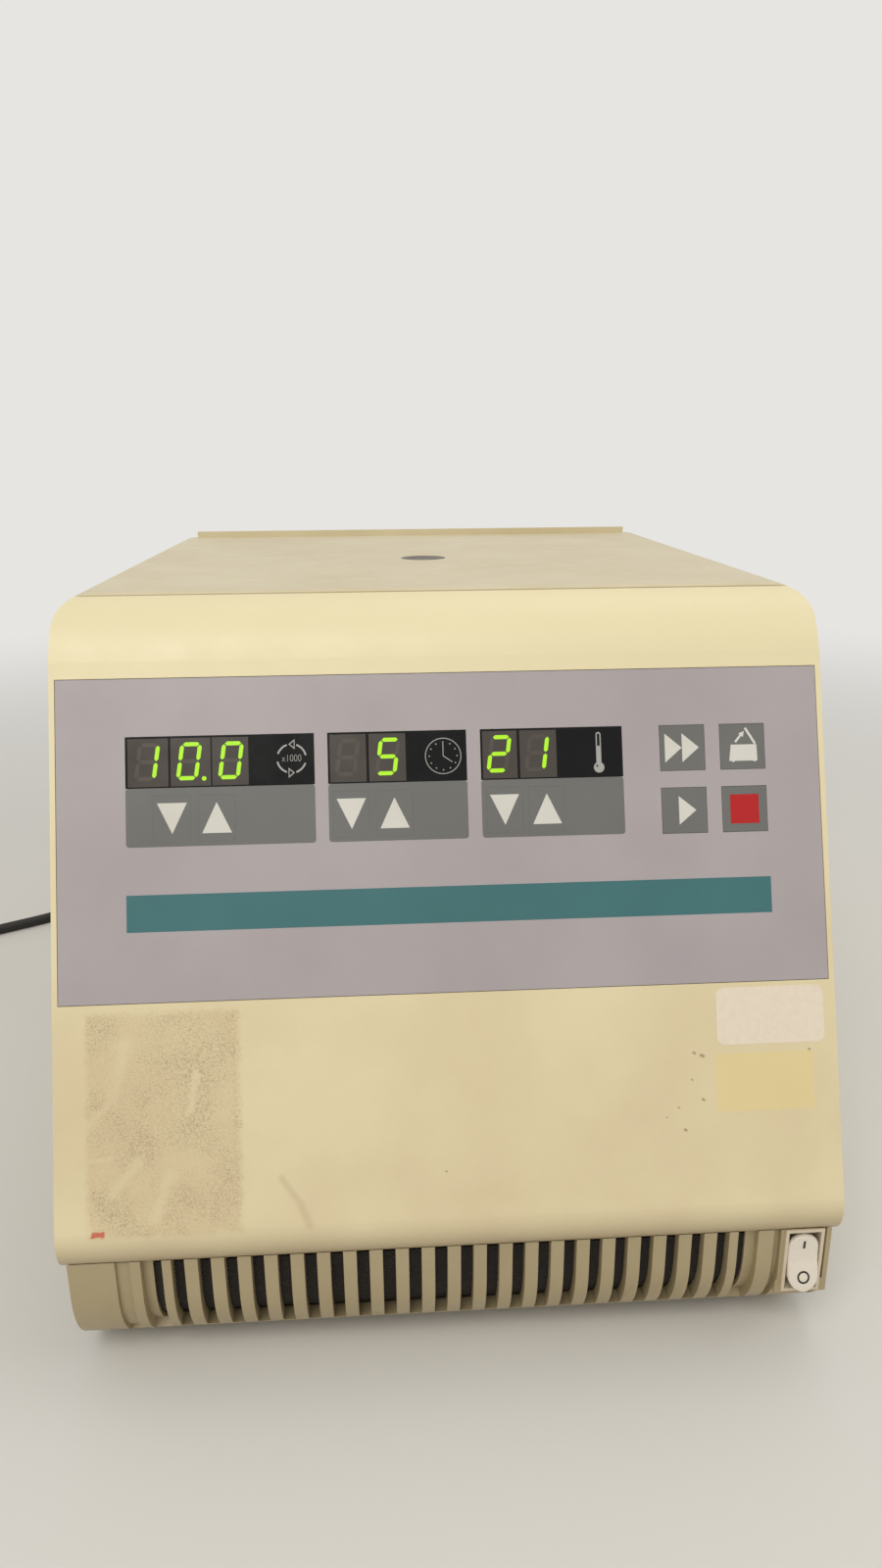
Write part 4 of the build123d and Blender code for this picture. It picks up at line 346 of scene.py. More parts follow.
@dataclass(frozen=True)
class AgedHousing(Finish):
    """Grained ivory plastic of the front shell: lighter towards the top as painted light, darker towards the
    bottom as painted shade, and marked where labels have come off.
    """

    # Colour of the painted light that the shell takes towards its top.
    top_light: str = "EADEB4"
    residue: Patch = Patch(-133.0, -78.0, 66.0, 141.0, 3.0, 2.0)
    ghost: Patch = Patch(98.3, 135.5, 99.4, 119.4, 0.8, 0.4)
    pen: Patch = Patch(-132.0, -127.0, 66.2, 68.2, 0.8, 1.5)
    run: tuple = (Streak((-63.5, 83.4), (-57.2, 74.9), 1.2), Streak((-57.2, 74.9), (-53.8, 67.3), 1.5))
    wiped: tuple = (Streak((-119.0, 130.0), (-124.5, 111.3), 2.6),
                    Streak((-124.5, 111.3), (-132.9, 103.5), 1.4),
                    Streak((-93.7, 120.0), (-95.7, 107.7), 1.3), Streak((-114.3, 91.2), (-124.5, 80.3), 1.7),
                    Streak((-133.1, 91.6), (-124.8, 92.5), 0.8), Streak((-104.0, 86.0), (-109.0, 72.0), 2.2))
    chips: tuple = (spot(90.0, 120.2, 0.6), spot(92.9, 119.2, 0.8), spot(89.0, 110.9, 0.4),
                    spot(92.8, 104.0, 0.6), spot(83.6, 101.5, 0.4), spot(85.7, 93.8, 0.6),
                    spot(78.9, 98.3, 0.3), spot(133.9, 120.0, 0.5), spot(-3.7, 83.3, 0.4))
    # Heights in millimetres over which the painted light fades in towards the top.
    top_light_rise: tuple = (80.0, 255.0)
    # Painted shade darkens the shell from 70 mm down to its full share at 49 mm.
    low_shade_fall: tuple = (70.0, 49.0)
    sand_scale: float = 1500.0
    uneven_scale: float = 70.0
    wiped_share: float = 0.6
    grain_rough: float = 0.3
    grain_height: float = 2.0

    def joined(self, tree: NodeTree, place: NodeSocket, parts: tuple) -> NodeSocket:
        """The greatest of the masks of several marks."""
        whole = parts[0].mask(tree, place)
        for part in parts[1:]:
            whole = add(tree, "Math", {0: whole, 1: part.mask(tree, place)}, operation="MAXIMUM").outputs[0]
        return whole

    def marks(self, tree: NodeTree, place: NodeSocket, look: Look) -> None:
        """Adds painted light towards the top, painted shade towards the bottom, the glue left by a label, its
        pale neighbour, a pen mark, a run and chips.

        Args:
            tree: the material's tree.
            place: object coordinates.
            look: the look so far.
        """
        upright = add(tree, "SeparateXYZ", {0: place}).outputs[2]
        # Masks of the painted light towards the top and of the painted shade towards the bottom.
        top_light, low_shade = [add(tree, "MapRange", {"Value": upright, "From Min": start * MM,
                                                "From Max": end * MM},
                             interpolation_type="SMOOTHSTEP").outputs[0]
                         for start, end in (self.top_light_rise, self.low_shade_fall)]
        clean = self.joined(tree, place, self.wiped)
        left = add(tree, "Math", {0: clean, 1: -self.wiped_share, 2: 1.0},
                   operation="MULTIPLY_ADD").outputs[0]
        glued = add(tree, "Math", {0: self.residue.mask(tree, place), 1: left},
                    operation="MULTIPLY").outputs[0]
        sand = add(tree, "TexNoise", {"Vector": place, "Scale": self.sand_scale, "Detail": 3.0,
                                      "Roughness": 0.6})
        uneven = add(tree, "TexNoise", {"Vector": place, "Scale": self.uneven_scale, "Detail": 2.0})
        grains = add(tree, "MapRange", {"Value": sand.outputs["Fac"], "From Min": 0.45, "From Max": 0.66})
        strong = add(tree, "MapRange", {"Value": uneven.outputs["Fac"], "From Min": 0.35, "From Max": 0.65,
                                        "To Min": 0.25})
        amount = add(tree, "Math", {0: grains.outputs[0], 1: strong.outputs[0]}, operation="MULTIPLY")
        amount = add(tree, "Math", {0: amount.outputs[0], 1: glued}, operation="MULTIPLY").outputs[0]
        # Each layer mixes a colour in by its mask: painted light at the top and painted shade at the bottom
        # first, then the glue, its grains, the pale ghost of a label, the pen, the run and the chips.
        layers = ((top_light, 0.85, self.top_light), (low_shade, 0.75, "A08C6C"), (glued, 0.34, "CDB48C"),
                  (amount, 0.5, "8E7650"), (self.ghost.mask(tree, place), 0.6, "E6D08E"),
                  (self.pen.mask(tree, place), 0.85, "C8503C"),
                  (self.joined(tree, place, self.run), 0.3, "B09A76"),
                  (self.joined(tree, place, self.chips), 0.75, "8A6C4E"))
        for mask, share, hue in layers:
            part = add(tree, "Math", {0: mask, 1: share}, operation="MULTIPLY").outputs[0]
            look.colour = add(tree, "Mix", {0: part, 6: look.colour, 7: linear(hue)},
                              data_type="RGBA").outputs[2]
        look.rough = add(tree, "Math", {0: amount, 1: self.grain_rough, 2: look.rough},
                         operation="MULTIPLY_ADD").outputs[0]
        look.height = add(tree, "Math", {0: amount, 1: self.grain_height, 2: look.height},
                          operation="MULTIPLY_ADD").outputs[0]


@dataclass(frozen=True)
class Layered(Finish):
    """Threads or thin sheets, with painted shade in the gaps between them."""

    # Colour of the painted shade in the gaps.
    gap: str = "0A0908"

    def marks(self, tree: NodeTree, place: NodeSocket, look: Look) -> None:
        """Paints shade into what lies low in the relief, the gaps between the threads or sheets.

        Args:
            tree: the material's tree.
            place: object coordinates.
            look: the look so far.
        """
        # Mask that is 0 in the low gaps, where the painted shade goes, and 1 on the threads or sheets.
        depth = add(tree, "MapRange", {"Value": look.height, "From Min": 0.4, "From Max": 0.6}).outputs[0]
        look.colour = add(tree, "Mix", {0: depth, 6: linear(self.gap), 7: look.colour},
                          data_type="RGBA").outputs[2]


@dataclass(frozen=True)
class Lamp(Finish):
    """A lit segment, which shines by itself."""

    glow: str = "B4F014"
    strength: float = 0.62

    def material(self) -> Material:
        """Builds the plain finish and lets it shine."""
        made = super().material()
        skin = next(node for node in made.node_tree.nodes if node.type == "BSDF_PRINCIPLED")
        skin.inputs["Emission Color"].default_value = linear(self.glow)
        skin.inputs["Emission Strength"].default_value = self.strength
        return made


# Polyurethane housing, moulded with a fine leather grain: soft broken highlights
SHELL = AgedHousing("moulded_ivory_front", "E2D4AC", "D9C8A1", 0.42, Grain.MOULDED, 0.9, 0.05)
# The lid's plastic is coloured darker than the front shell's: painted shade on the same material.
LID_PU = Finish("moulded_ivory_lid_painted_shade", "D6CAA8", "CFC19D", 0.42, Grain.MOULDED, 0.9, 0.05)
COVER_PU = Finish("moulded_ivory_cover", "DACDA4", "D2C498", 0.45, Grain.MOULDED, 0.9, 0.05)
# Steel tray with textured enamel: a little yellower and smoother than the plastic, and darkened as painted
# shade under the overhanging housing
TRAY = Finish("enamelled_steel_tray_painted_shade", "AFA07E", "A79773", 0.4, Grain.CAST, 1.4, 0.02)
# Polyester overlay film: flat and even, with the faint bloom of a satin print
FILM = Finish("polyester_film_lilac", "AEA6A7", "A89FA1", 0.42, Grain.SATIN, 0.35, 0.006)
FILM_GREY = Finish("polyester_film_grey", "6C6C69", "676764", 0.42, Grain.SATIN, 0.35, 0.006)
INK_TEAL = Finish("screen_ink_teal", "3A6E71", "366A6C", 0.4, Grain.SATIN, 0.3, 0.006)
INK_WHITE = Finish("screen_ink_white", "D9D7CE", "D2CFC4", 0.45, Grain.SATIN, 0.3, 0.006)
INK_PALE = Finish("screen_ink_pale_grey", "A9A9A4", "A09F9A", 0.45, Grain.SATIN, 0.3, 0.006)
INK_RED = Finish("screen_ink_red", "B50507", "AC0406", 0.4, Grain.SATIN, 0.3, 0.006)
INK_BLACK = Finish("pad_ink_black", "1F1C1A", "272421", 0.5, Grain.SATIN, 0.3, 0.006)
LENS = Finish("tinted_acrylic_lens", "0A0A0B", "0D0C0E", 0.22, Grain.GLOSS, 4.0, 0.003, ior=1.3)
DIODE_BACK = Finish("diode_window_brown", "3B332D", "413A2F", 0.2, Grain.GLOSS, 3.0, 0.003, coat=0.3)
DIODE_DARK = Finish("diode_segment_unlit", "4B423A", "473E37", 0.25, Grain.GLOSS, 3.0, 0.003, coat=0.3)
DIODE_LIT = Lamp("diode_segment_lit", "6FA015", "7DB01A", 0.3, Grain.GLOSS, 3.0, 0.003)
PAPER = Finish("worn_label_paper", "EADCC8", "E5D7C2", 0.85, Grain.CAST, 0.5, 0.06, patch_mm=2.2)
# Nylon and ABS mouldings with a tighter gloss, dull rubber and matt foam
ROCKER = Finish("glossy_white_nylon", "E9E0D2", "E2D8C8", 0.28, Grain.GLOSS, 6.0, 0.006, ior=1.53)
BEZEL = Finish("moulded_ivory_bezel", "DACBB4", "CFC0A6", 0.35, Grain.SATIN, 0.7, 0.01)
LINER = Finish("thermoformed_liner", "D8D4C4", "CFCABA", 0.5, Grain.SATIN, 0.9, 0.02)
BOARD = Finish("fibreglass_circuit_board", "2F6B3A", "295F33", 0.4, Grain.WOVEN, 0.8, 0.02)
FOAM = Finish("poured_foam", "E6D9A4", "D9C88F", 0.9, Grain.FOAM, 1.6, 0.2)
RUBBER = Finish("moulded_black_rubber", "1C1B1A", "242321", 0.72, Grain.SATIN, 0.5, 0.03)
PVC = Finish("matt_black_pvc_lead", "191919", "211F1E", 0.55, Grain.SATIN, 0.6, 0.02)
KNOB = Finish("glass_filled_nylon_black", "1E1E20", "262628", 0.5, Grain.SATIN, 0.5, 0.02)
GLASS = Finish("sight_glass_acrylic", "5E5548", "564D42", 0.4, Grain.GLOSS, 8.0, 0.004, ior=1.25)
# Metals keep their own colour in the highlight
STEEL = Finish("zinc_plated_steel", "B9BCBF", "A9ADB1", 0.34, Grain.CAST, 2.2, 0.02, metallic=1.0)
BOWL = Finish("spun_stainless_steel", "C9CACB", "BDBFC1", 0.26, Grain.TURNED, 0.5, 0.01, metallic=1.0)
COPPER = Finish("drawn_copper_tube", "C08457", "A86C44", 0.32, Grain.CAST, 3.0, 0.01, metallic=1.0)
ALLOY = Finish("anodised_aluminium_rotor", "B6BABF", "A9AEB4", 0.3, Grain.TURNED, 0.35, 0.012, metallic=1.0)
MOTOR = Finish("grey_cast_motor", "4C4E52", "42444A", 0.55, Grain.CAST, 1.6, 0.05)
COMPRESSOR = Finish("black_enamel_compressor", "1A1B1C", "222324", 0.3, Grain.CAST, 3.0, 0.03)
# Wires and fins are drawn coarser than real ones, so that they show from the photograph's distance
# The dark colour of their gaps is painted shade.
SCREEN = Layered("woven_intake_screen", "2C211A", "1F1712", 0.6, Grain.WOVEN, 1.5, 0.3)
FIN_PACK = Layered("aluminium_fin_pack", "A9ACAE", "9A9DA0", 0.4, Grain.FINS, 2.0, 0.5, metallic=0.9)

NODE_FINISH = {
    SHELL: ("front_housing",),
    LID_PU: ("lid_shell",),
    COVER_PU: ("rear_cover",),
    TRAY: ("base_tray",),
    FILM: ("control_panel",),
    FILM_GREY: ("key_fast", "key_lid", "key_start", "key_stop", "key_speed_down", "key_speed_up",
                "key_time_down", "key_time_up", "key_temperature_down", "key_temperature_up"),
    LENS: ("display_windows",),
    DIODE_BACK: ("led_displays",),
    ROCKER: ("mains_rocker",),
    BEZEL: ("mains_switch_body",),
    LINER: ("lid_liner", "fan_frame"),
    BOARD: ("control_board",),
    FOAM: ("lid_core", "insulation_jacket"),
    RUBBER: ("rubber_feet", "chamber_gasket", "lid_seal", "compressor_mounts", "motor_dampers", "motor_boot"),
    PVC: ("mains_cord", "cord_coil", "cord_tail", "mains_plug", "cord_connector"),
    KNOB: ("rotor_knob", "latch_body", "power_inlet", "condenser_fan"),
    GLASS: ("sight_glass",),
    STEEL: ("housing_screws", "lid_screws", "hinge_brackets", "hinge_pins", "lid_hinge_arms", "lid_striker",
            "latch_hook", "motor_plate", "motor_shaft", "motor_bearings", "power_supply"),
    BOWL: ("chamber_bowl",),
    COPPER: ("evaporator_coil", "refrigerant_lines"),
    ALLOY: ("rotor", "rotor_lid"),
    MOTOR: ("motor_housing",),
    COMPRESSOR: ("compressor",),
    SCREEN: ("intake_filter",),
    FIN_PACK: ("condenser",),
}


def dress(thing: Object, finish: Finish, body: str = None) -> Object:
    """Gives an object its finish and, for a new piece and body.

    Args:
        thing: a CAD node's object or a new piece.
        finish: what it is made of.
        body: the CAD body that it rides on.

    Returns:
        The same object.
    """
    thing.data.materials.clear()
    thing.data.materials.append(finish.material())
    if body:
        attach(thing, body)
        LOG.info("%s rides on %s in %s", thing.name, body, finish.name)
    return thing


def around(x: float, y: float, radius: float, angle: np.ndarray) -> np.ndarray:
    """Points on a circle at angles in radians."""
    return np.stack([x + radius * np.cos(angle), y + radius * np.sin(angle)], axis=-1)


def rectangle(left: float, right: float, low: float, high: float, corner: float = 0.0) -> np.ndarray:
    """Outline of a rectangle whose corners are quarter circles of a radius."""
    if corner == 0.0:
        return np.array([(left, low), (right, low), (right, high), (left, high)])
    quarter = np.linspace(0, math.pi / 2, 7)
    turns = [(right - corner, high - corner, 0), (left + corner, high - corner, 1),
             (left + corner, low + corner, 2), (right - corner, low + corner, 3)]
    return np.concatenate([around(x, y, corner, quarter + number * math.pi / 2) for x, y, number in turns])


def circle(x: float, y: float, radius: float, steps: int = 40) -> np.ndarray:
    """Outline of a circle, as points at equal angles."""
    return around(x, y, radius, np.linspace(0, 2 * math.pi, steps, endpoint=False))


def arc_band(x: float, y: float, inner: float, outer: float, start: float, end: float) -> np.ndarray:
    """Outline of a band between two radii from one angle to another, in degrees."""
    angle = np.radians(np.linspace(start, end, 14))
    return np.concatenate([around(x, y, outer, angle), around(x, y, inner, angle)[::-1]])


def direction(first: np.ndarray, last: np.ndarray) -> tuple:
    """Unit vector from one flat point to another, and the one to its left."""
    along = (last - first) / np.linalg.norm(last - first)
    return along, np.array([-along[1], along[0]])


def stroke(start: tuple, end: tuple, width: float) -> np.ndarray:
    """Outline of a straight line of a width, as its ends moved half the width to each side."""
    first, last = np.array(start, float), np.array(end, float)
    side = direction(first, last)[1] * width / 2
    return np.array([first - side, last - side, last + side, first + side])


def on_slope(points: np.ndarray) -> np.ndarray:
    """Takes flat points to the slanted front: their y runs up the slope and their z off it."""
    return slope_point(points[:, 0], -points[:, 1], points[:, 2])


def settle(thing: Object, place: callable, lift: float) -> Object:
    """Turns a flat curve or text into a closed mesh lying on a surface.

    Args:
        thing: curve or text object, in millimetres.
        place: takes rows of flat x, y and height to their place in millimetres.
        lift: height of the underside above the surface.

    Returns:
        A mesh object of the same name, shaded flat.
    """
    bpy.context.view_layer.update()
    mesh = bpy.data.meshes.new_from_object(thing.evaluated_get(bpy.context.evaluated_depsgraph_get()))
    name = thing.name
    bpy.data.objects.remove(thing)
    flat = np.empty(len(mesh.vertices) * 3)
    mesh.vertices.foreach_get("co", flat)
    flat = flat.reshape(-1, 3)
    flat[:, 2] += lift - flat[:, 2].min()
    mesh.vertices.foreach_set("co", (place(flat) * MM).ravel())
    mesh.update()
    made = linked(name, mesh)
    weld(made)
    mesh.polygons.foreach_set("use_smooth", [False] * len(mesh.polygons))
    return made


def weld(thing: Object, gap: float = 0.002) -> None:
    """Joins points nearer than a gap in millimetres and turns all faces outwards."""
    shape = bmesh.new()
    shape.from_mesh(thing.data)
    bmesh.ops.remove_doubles(shape, verts=shape.verts, dist=gap * MM)
    bmesh.ops.recalc_face_normals(shape, faces=shape.faces)
    shape.to_mesh(thing.data)
    shape.free()


def printed(name: str, outlines: list, place: callable = on_slope, lift: float = PRINT_SINK,
            thick: float = PRINT_THICK) -> Object:
    """A printed mark: outlines filled in, with the inner ones left open, and a slight thickness.

    Args:
        name: the object's name.
        outlines: rows of x and y in millimetres for each outline.
        place: where the flat points go.
        lift: height of the underside above the surface.
        thick: thickness of the print.

    Returns:
        A closed mesh.
    """
    flat = bpy.data.curves.new(name, "CURVE")
    flat.dimensions = "2D"
    flat.fill_mode = "BOTH"
    flat.extrude = thick / 2
    for outline in outlines:
        line = flat.splines.new("POLY")
        line.points.add(len(outline) - 1)
        rows = np.column_stack([outline, np.zeros(len(outline)), np.ones(len(outline))])
        line.points.foreach_set("co", rows.ravel())
        line.use_cyclic_u = True
    return settle(linked(name, flat), place, lift)


def lettered(name: str, words: str, centre: tuple, height: float, squeeze: float) -> Object:
    """Generic figures and letters, centred on a point of the slanted front.

    Args:
        name: the object's name.
        words: what is written.
        centre: x and y of the middle in millimetres.
        height: size of the type in millimetres.
        squeeze: how much narrower than tall the type is set.

    Returns:
        A closed mesh.
    """
    text = bpy.data.curves.new(name, "FONT")
    text.body = words
    text.size = height
    text.offset = LETTER_THINNED
    text.extrude = PRINT_THICK / 2
    text.align_x = "CENTER"
    text.align_y = "CENTER"
    return settle(linked(name, text), lambda flat: on_slope(flat * np.array([squeeze, 1.0, 1.0])
                                                            + np.array([*centre, 0.0])), PRINT_SINK)


@dataclass(frozen=True)
class Digit:
    """A seven-segment figure that leans to the right."""

    x: float
    lit: str
    down: float = 37.4
    width: float = 8.0
    height: float = 14.0
    bar: float = 1.5
    lean: float = 8.0
    gap: float = 0.25

    def segments(self) -> tuple:
        """Outlines of the lit and unlit segments.

        Each bar is a long hexagon between two corners of a figure 8, and a point at height y moves
        y tan(lean) to the right.

        Returns:
            Two lists of outlines.
        """
        half, tall, bar = (self.width - self.bar) / 2, (self.height - self.bar) / 2, self.bar / 2
        corners = {"a": ((-half, tall), (half, tall)), "b": ((half, 0), (half, tall)),
                   "c": ((half, -tall), (half, 0)), "d": ((-half, -tall), (half, -tall)),
                   "e": ((-half, -tall), (-half, 0)), "f": ((-half, 0), (-half, tall)),
                   "g": ((-half, 0), (half, 0))}
        lit, dark = [], []
        for name, (start, end) in corners.items():
            first, last = np.array(start, float), np.array(end, float)
            along, side = direction(first, last)
            first, last = first + along * self.gap, last - along * self.gap
            shape = np.array([first, first + (along - side) * bar, last - (along + side) * bar, last,
                              last + (side - along) * bar, first + (along + side) * bar])
            shape[:, 0] += shape[:, 1] * math.tan(math.radians(self.lean)) + self.x
            shape[:, 1] -= self.down
            (lit if name in self.lit else dark).append(shape)
        return lit, dark


@dataclass
class ControlPanel:
    """The film on the slanted panel: its strip, grey fields, displays and signs."""

    fields: tuple = ((-117.6, -48.3), (-43.4, 8.4), (13.6, 67.4))
    field_top: float = 28.0
    field_split: float = 47.1
    field_bottom: float = 68.7
    corner: float = 1.2
    strip: tuple = (-117.8, 122.3, -99.7, -86.2)
    arrows: tuple = (("speed", -100.8, -84.5), ("time", -35.0, -19.0), ("temperature", 22.2, 38.1))
    arrow_row: float = 58.4
    arrow_half: float = 5.45
    arrow_rise: float = 5.7
    cap: tuple = (13.6, 17.0)
    cap_row: float = 58.5
    cap_play: float = 0.03
    keys: tuple = ((90.3, 36.75), (113.4, 36.75), (90.3, 60.45), (113.4, 60.45))
    windows: tuple = ((-116.7, -101.9), (-101.1, -86.4), (-85.9, -72.6), (-42.6, -29.1), (-28.1, -14.4),
                      (14.4, 27.4), (28.4, 42.3))
    digits: tuple = (Digit(-109.6, "bc"), Digit(-94.3, "abcdef"), Digit(-79.0, "abcdef"), Digit(-36.0, ""),
                     Digit(-21.1, "acdfg"), Digit(20.6, "abdeg"), Digit(34.9, "bc"))
    point: tuple = (-88.9, -43.9)
    turning: tuple = (-56.7, -37.3)
    clock: tuple = (-0.4, -37.7)
    thermometer_x: float = 58.3

    def cap_outline(self, x: float, play: float = 0.0) -> np.ndarray:
        """Outline of the arrow key's cap at x, less a play on each side."""
        wide, tall = self.cap[0] / 2 - play, self.cap[1] / 2 - play
        return rectangle(x - wide, x + wide, -self.cap_row - tall, -self.cap_row + tall)

    def build(self) -> None:
        """Prints the film, the displays and the signs on the keys."""
        self.print_fields()
        self.print_digits()
        self.print_icons()
        self.print_keys()

    def print_fields(self) -> None:
        """Prints the teal strip and the grey lower halves, open where the arrow keys come through."""
        dress(printed("teal_strip", [rectangle(*self.strip)]), INK_TEAL, "cabinet")
        for (left, right), (title, *columns) in zip(self.fields, self.arrows):
            outline = [rectangle(left, right, -self.field_bottom, -self.field_split, self.corner)]
            outline += [self.cap_outline(x) for x in columns]
            dress(printed(f"grey_field_{title}", outline), FILM_GREY, "cabinet")

    def print_digits(self) -> None:
        """Sets the brown diode windows and their lit and unlit segments on the lenses."""
        rows = (-self.field_split + 0.5, -self.field_top - 0.8)
        windows = [rectangle(left, right, *rows) for left, right in self.windows]
        dress(printed("diode_windows", windows, thick=0.06), DIODE_BACK, "cabinet")
        lit, dark = [circle(*self.point, 0.85, 20)], []
        for digit in self.digits:
            on, off = digit.segments()
            lit += on
            dark += off
        dress(printed("diode_segments_lit", lit, lift=0.01, thick=0.06), DIODE_LIT, "cabinet")
        dress(printed("diode_segments_unlit", dark, lift=0.01, thick=0.05), DIODE_DARK,
              "cabinet")

    def print_icons(self) -> None:
        """Draws the turning arrows, the clock and the thermometer beside the figures."""
        x, y = self.turning
        outlines = [arc_band(x, y, 5.0, 5.65, start, end)
                    for start, end in ((12, 70), (108, 160), (192, 250), (288, 340))]
        for side in (1, -1):
            tip, base = x - side * 1.1, x + side * 1.2
            outer_head = np.array([(tip, y + side * 5.3), (base, y + side * 7.2), (base, y + side * 3.4)])
            inner_head = outer_head.mean(0) + (outer_head - outer_head.mean(0)) * 0.62
            outlines += [outer_head, inner_head]
        x, y = self.clock
        outlines += [circle(x, y, 6.8), circle(x, y, 6.5)]
        outlines += [circle(x + 5.2 * math.sin(n * math.pi / 6), y + 5.2 * math.cos(n * math.pi / 6), 0.27, 8)
                     for n in range(12)]
        outlines.append(np.array([(x - 0.14, y + 5.0), (x - 0.14, y - 0.07), (x + 3.3, y - 2.4),
                                  (x + 3.45, y - 2.15), (x + 0.14, y + 0.1), (x + 0.14, y + 5.0)]))
        x = self.thermometer_x
        angle = np.radians(np.linspace(118, 422, 26))
        top = np.radians(np.linspace(0, 180, 9))
        outlines.append(np.concatenate([around(x, -43.4, 2.0, angle), around(x, -31.0, 0.95, top)]))
        outlines.append(np.concatenate([around(x, -31.1, 0.5, top), [(x - 0.5, -35.3), (x + 0.5, -35.3)]]))
        outlines.append(circle(x - 0.7, -42.8, 0.4, 10))
        dress(printed("display_signs", outlines), INK_PALE, "cabinet")
        thousands = lettered("display_thousands", "x1000", self.turning, 3.8, 0.78)
        dress(thousands, INK_PALE, "cabinet")

    def print_keys(self) -> None:
        """Puts each key's sign on its cap, so that it sinks with it."""
        for title, down, up in self.arrows:
            for name, x, way in ((f"key_{title}_down", down, -1), (f"key_{title}_up", up, 1)):
                tip = -self.arrow_row + way * self.arrow_rise
                base = -self.arrow_row - way * self.arrow_rise
                shape = np.array([(x, tip), (x - self.arrow_half, base), (x + self.arrow_half, base)])
                film = self.cap_outline(x, self.cap_play)
                dress(printed(f"{name}_film", [film]), FILM_GREY, f"{name}_cap")
                dress(printed(f"{name}_sign", [shape], lift=0.02), INK_WHITE, f"{name}_cap")
        (x_fast, row), (x_lid, _), (x_start, low_row), (x_stop, _) = self.keys
        fast = [np.array([(x_fast + shift, -row + 5.5), (x_fast + shift, -row - 5.5),
                          (x_fast + shift + 6.5, -row)]) for shift in (-6.7, -0.1)]
        start = [np.array([(x_start - 2.1, -low_row + 5.4), (x_start - 2.1, -low_row - 5.4),
                           (x_start + 4.5, -low_row)])]
        stop = [rectangle(x_stop - 5.5, x_stop + 5.5, -low_row - 5.5, -low_row + 5.5)]
        flat = np.array([x_lid, -row])
        lid = [np.array([(-5.2, -5.5), (-4.2, -5.5), (-4.0, -5.9), (-3.2, -5.9), (-3.0, -5.5), (4.0, -5.5),
                         (4.2, -5.8), (5.0, -5.8), (5.2, -5.5), (5.7, -5.5), (5.5, 0.7), (-4.4, 0.7)]) + flat,
               stroke((5.0, 0.9), (1.3, 7.0), 0.9) + flat,
               np.array([(-3.0, 1.9), (-2.3, 1.4), (-0.2, 4.0), (0.4, 3.5), (0.9, 5.8), (-1.3, 4.9),
                         (-0.8, 4.5)]) + flat]
        for name, shapes, ink in (("key_fast", fast, INK_WHITE), ("key_start", start, INK_WHITE),
                                  ("key_stop", stop, INK_RED), ("key_lid", lid, INK_WHITE)):
            dress(printed(f"{name}_sign", shapes), ink, f"{name}_cap")


@dataclass
class MainsSwitch:
    """The rocker of the mains switch: a white paddle with round ends, proud at its lower one."""

    x: float = 132.4
    pivot_y: float = -270.0
    z: float = 39.0
    half_width: float = 5.9
    half_height: float = 11.5
    flush: float = 3.1
    proud: float = 3.3
    edge: float = 0.9
    scoop: float = 0.5
    rear: float = 0.8

    def reach(self, up: np.ndarray) -> np.ndarray:
        """How far the face stands in front of the pivot at a height.

        The upper half is flush with a shallow scoop, a sine over its height, and the lower half leans
        out evenly.
        """
        above = np.clip(up / self.half_height, 0, 1)
        below = np.clip(-up / self.half_height, 0, 1)
        return self.flush - self.scoop * np.sin(above * math.pi) + self.proud * below

    def on_face(self, flat: np.ndarray) -> np.ndarray:
        """Takes flat x, height and lift to the rocker's face."""
        return np.stack([self.x + flat[:, 0], self.pivot_y - self.reach(flat[:, 1]) - flat[:, 2],
                         self.z + flat[:, 1]], axis=-1)

    def build(self) -> None:
        """Builds the paddle and prints its two marks.

        Each level is a closed D-shaped loop: the half width follows the straight sides and the round
        ends, the two front corners are arcs, and the loops at the ends shrink to a line.
        """
        straight = self.half_height - self.half_width
        turn = np.linspace(0, math.pi / 2, 10)
        levels = np.concatenate([-straight - self.half_width * np.cos(turn),
                                 np.linspace(-straight, straight, 21)[1:-1],
                                 straight + self.half_width * np.sin(turn)])
        beyond = np.clip(np.abs(levels) - straight, 0, self.half_width)
        half = np.sqrt(np.maximum(self.half_width ** 2 - beyond ** 2, 1e-6))[:, None]
        corner = np.minimum(self.edge, half)
        arc = np.linspace(0, math.pi / 2, 7)[None, :]
        side = half - corner + corner * np.cos(arc)
        thin = 1 - np.minimum(1, half / self.edge)
        drop = self.edge * (1 - np.sin(arc)) + self.edge * (1 - np.sqrt(1 - thin ** 2))
        across = np.concatenate([half, side, -side[:, ::-1], -half], axis=1)
        front = drop - self.reach(levels)[:, None]
        rear = np.full_like(half, -self.rear)
        depth = np.concatenate([rear, front, front[:, ::-1], rear], axis=1)
        points = np.stack([self.x + across, self.pivot_y + depth,
                           np.broadcast_to(self.z + levels[:, None], across.shape)], axis=-1).reshape(-1, 3)
        paddle = new_mesh("rocker_paddle", points, grid_faces(*across.shape))
        weld(paddle, 0.01)
        dress(paddle, ROCKER, "rocker")
        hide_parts("mains_rocker")
        for name, shapes in (("on", [rectangle(-0.42, 0.42, 5.5, 9.0)]),
                             ("off", [circle(0, -6.0, 2.4), circle(0, -6.0, 1.7)])):
            mark = printed(f"rocker_mark_{name}", shapes, self.on_face, 0.0)
            dress(mark, INK_BLACK, "rocker")


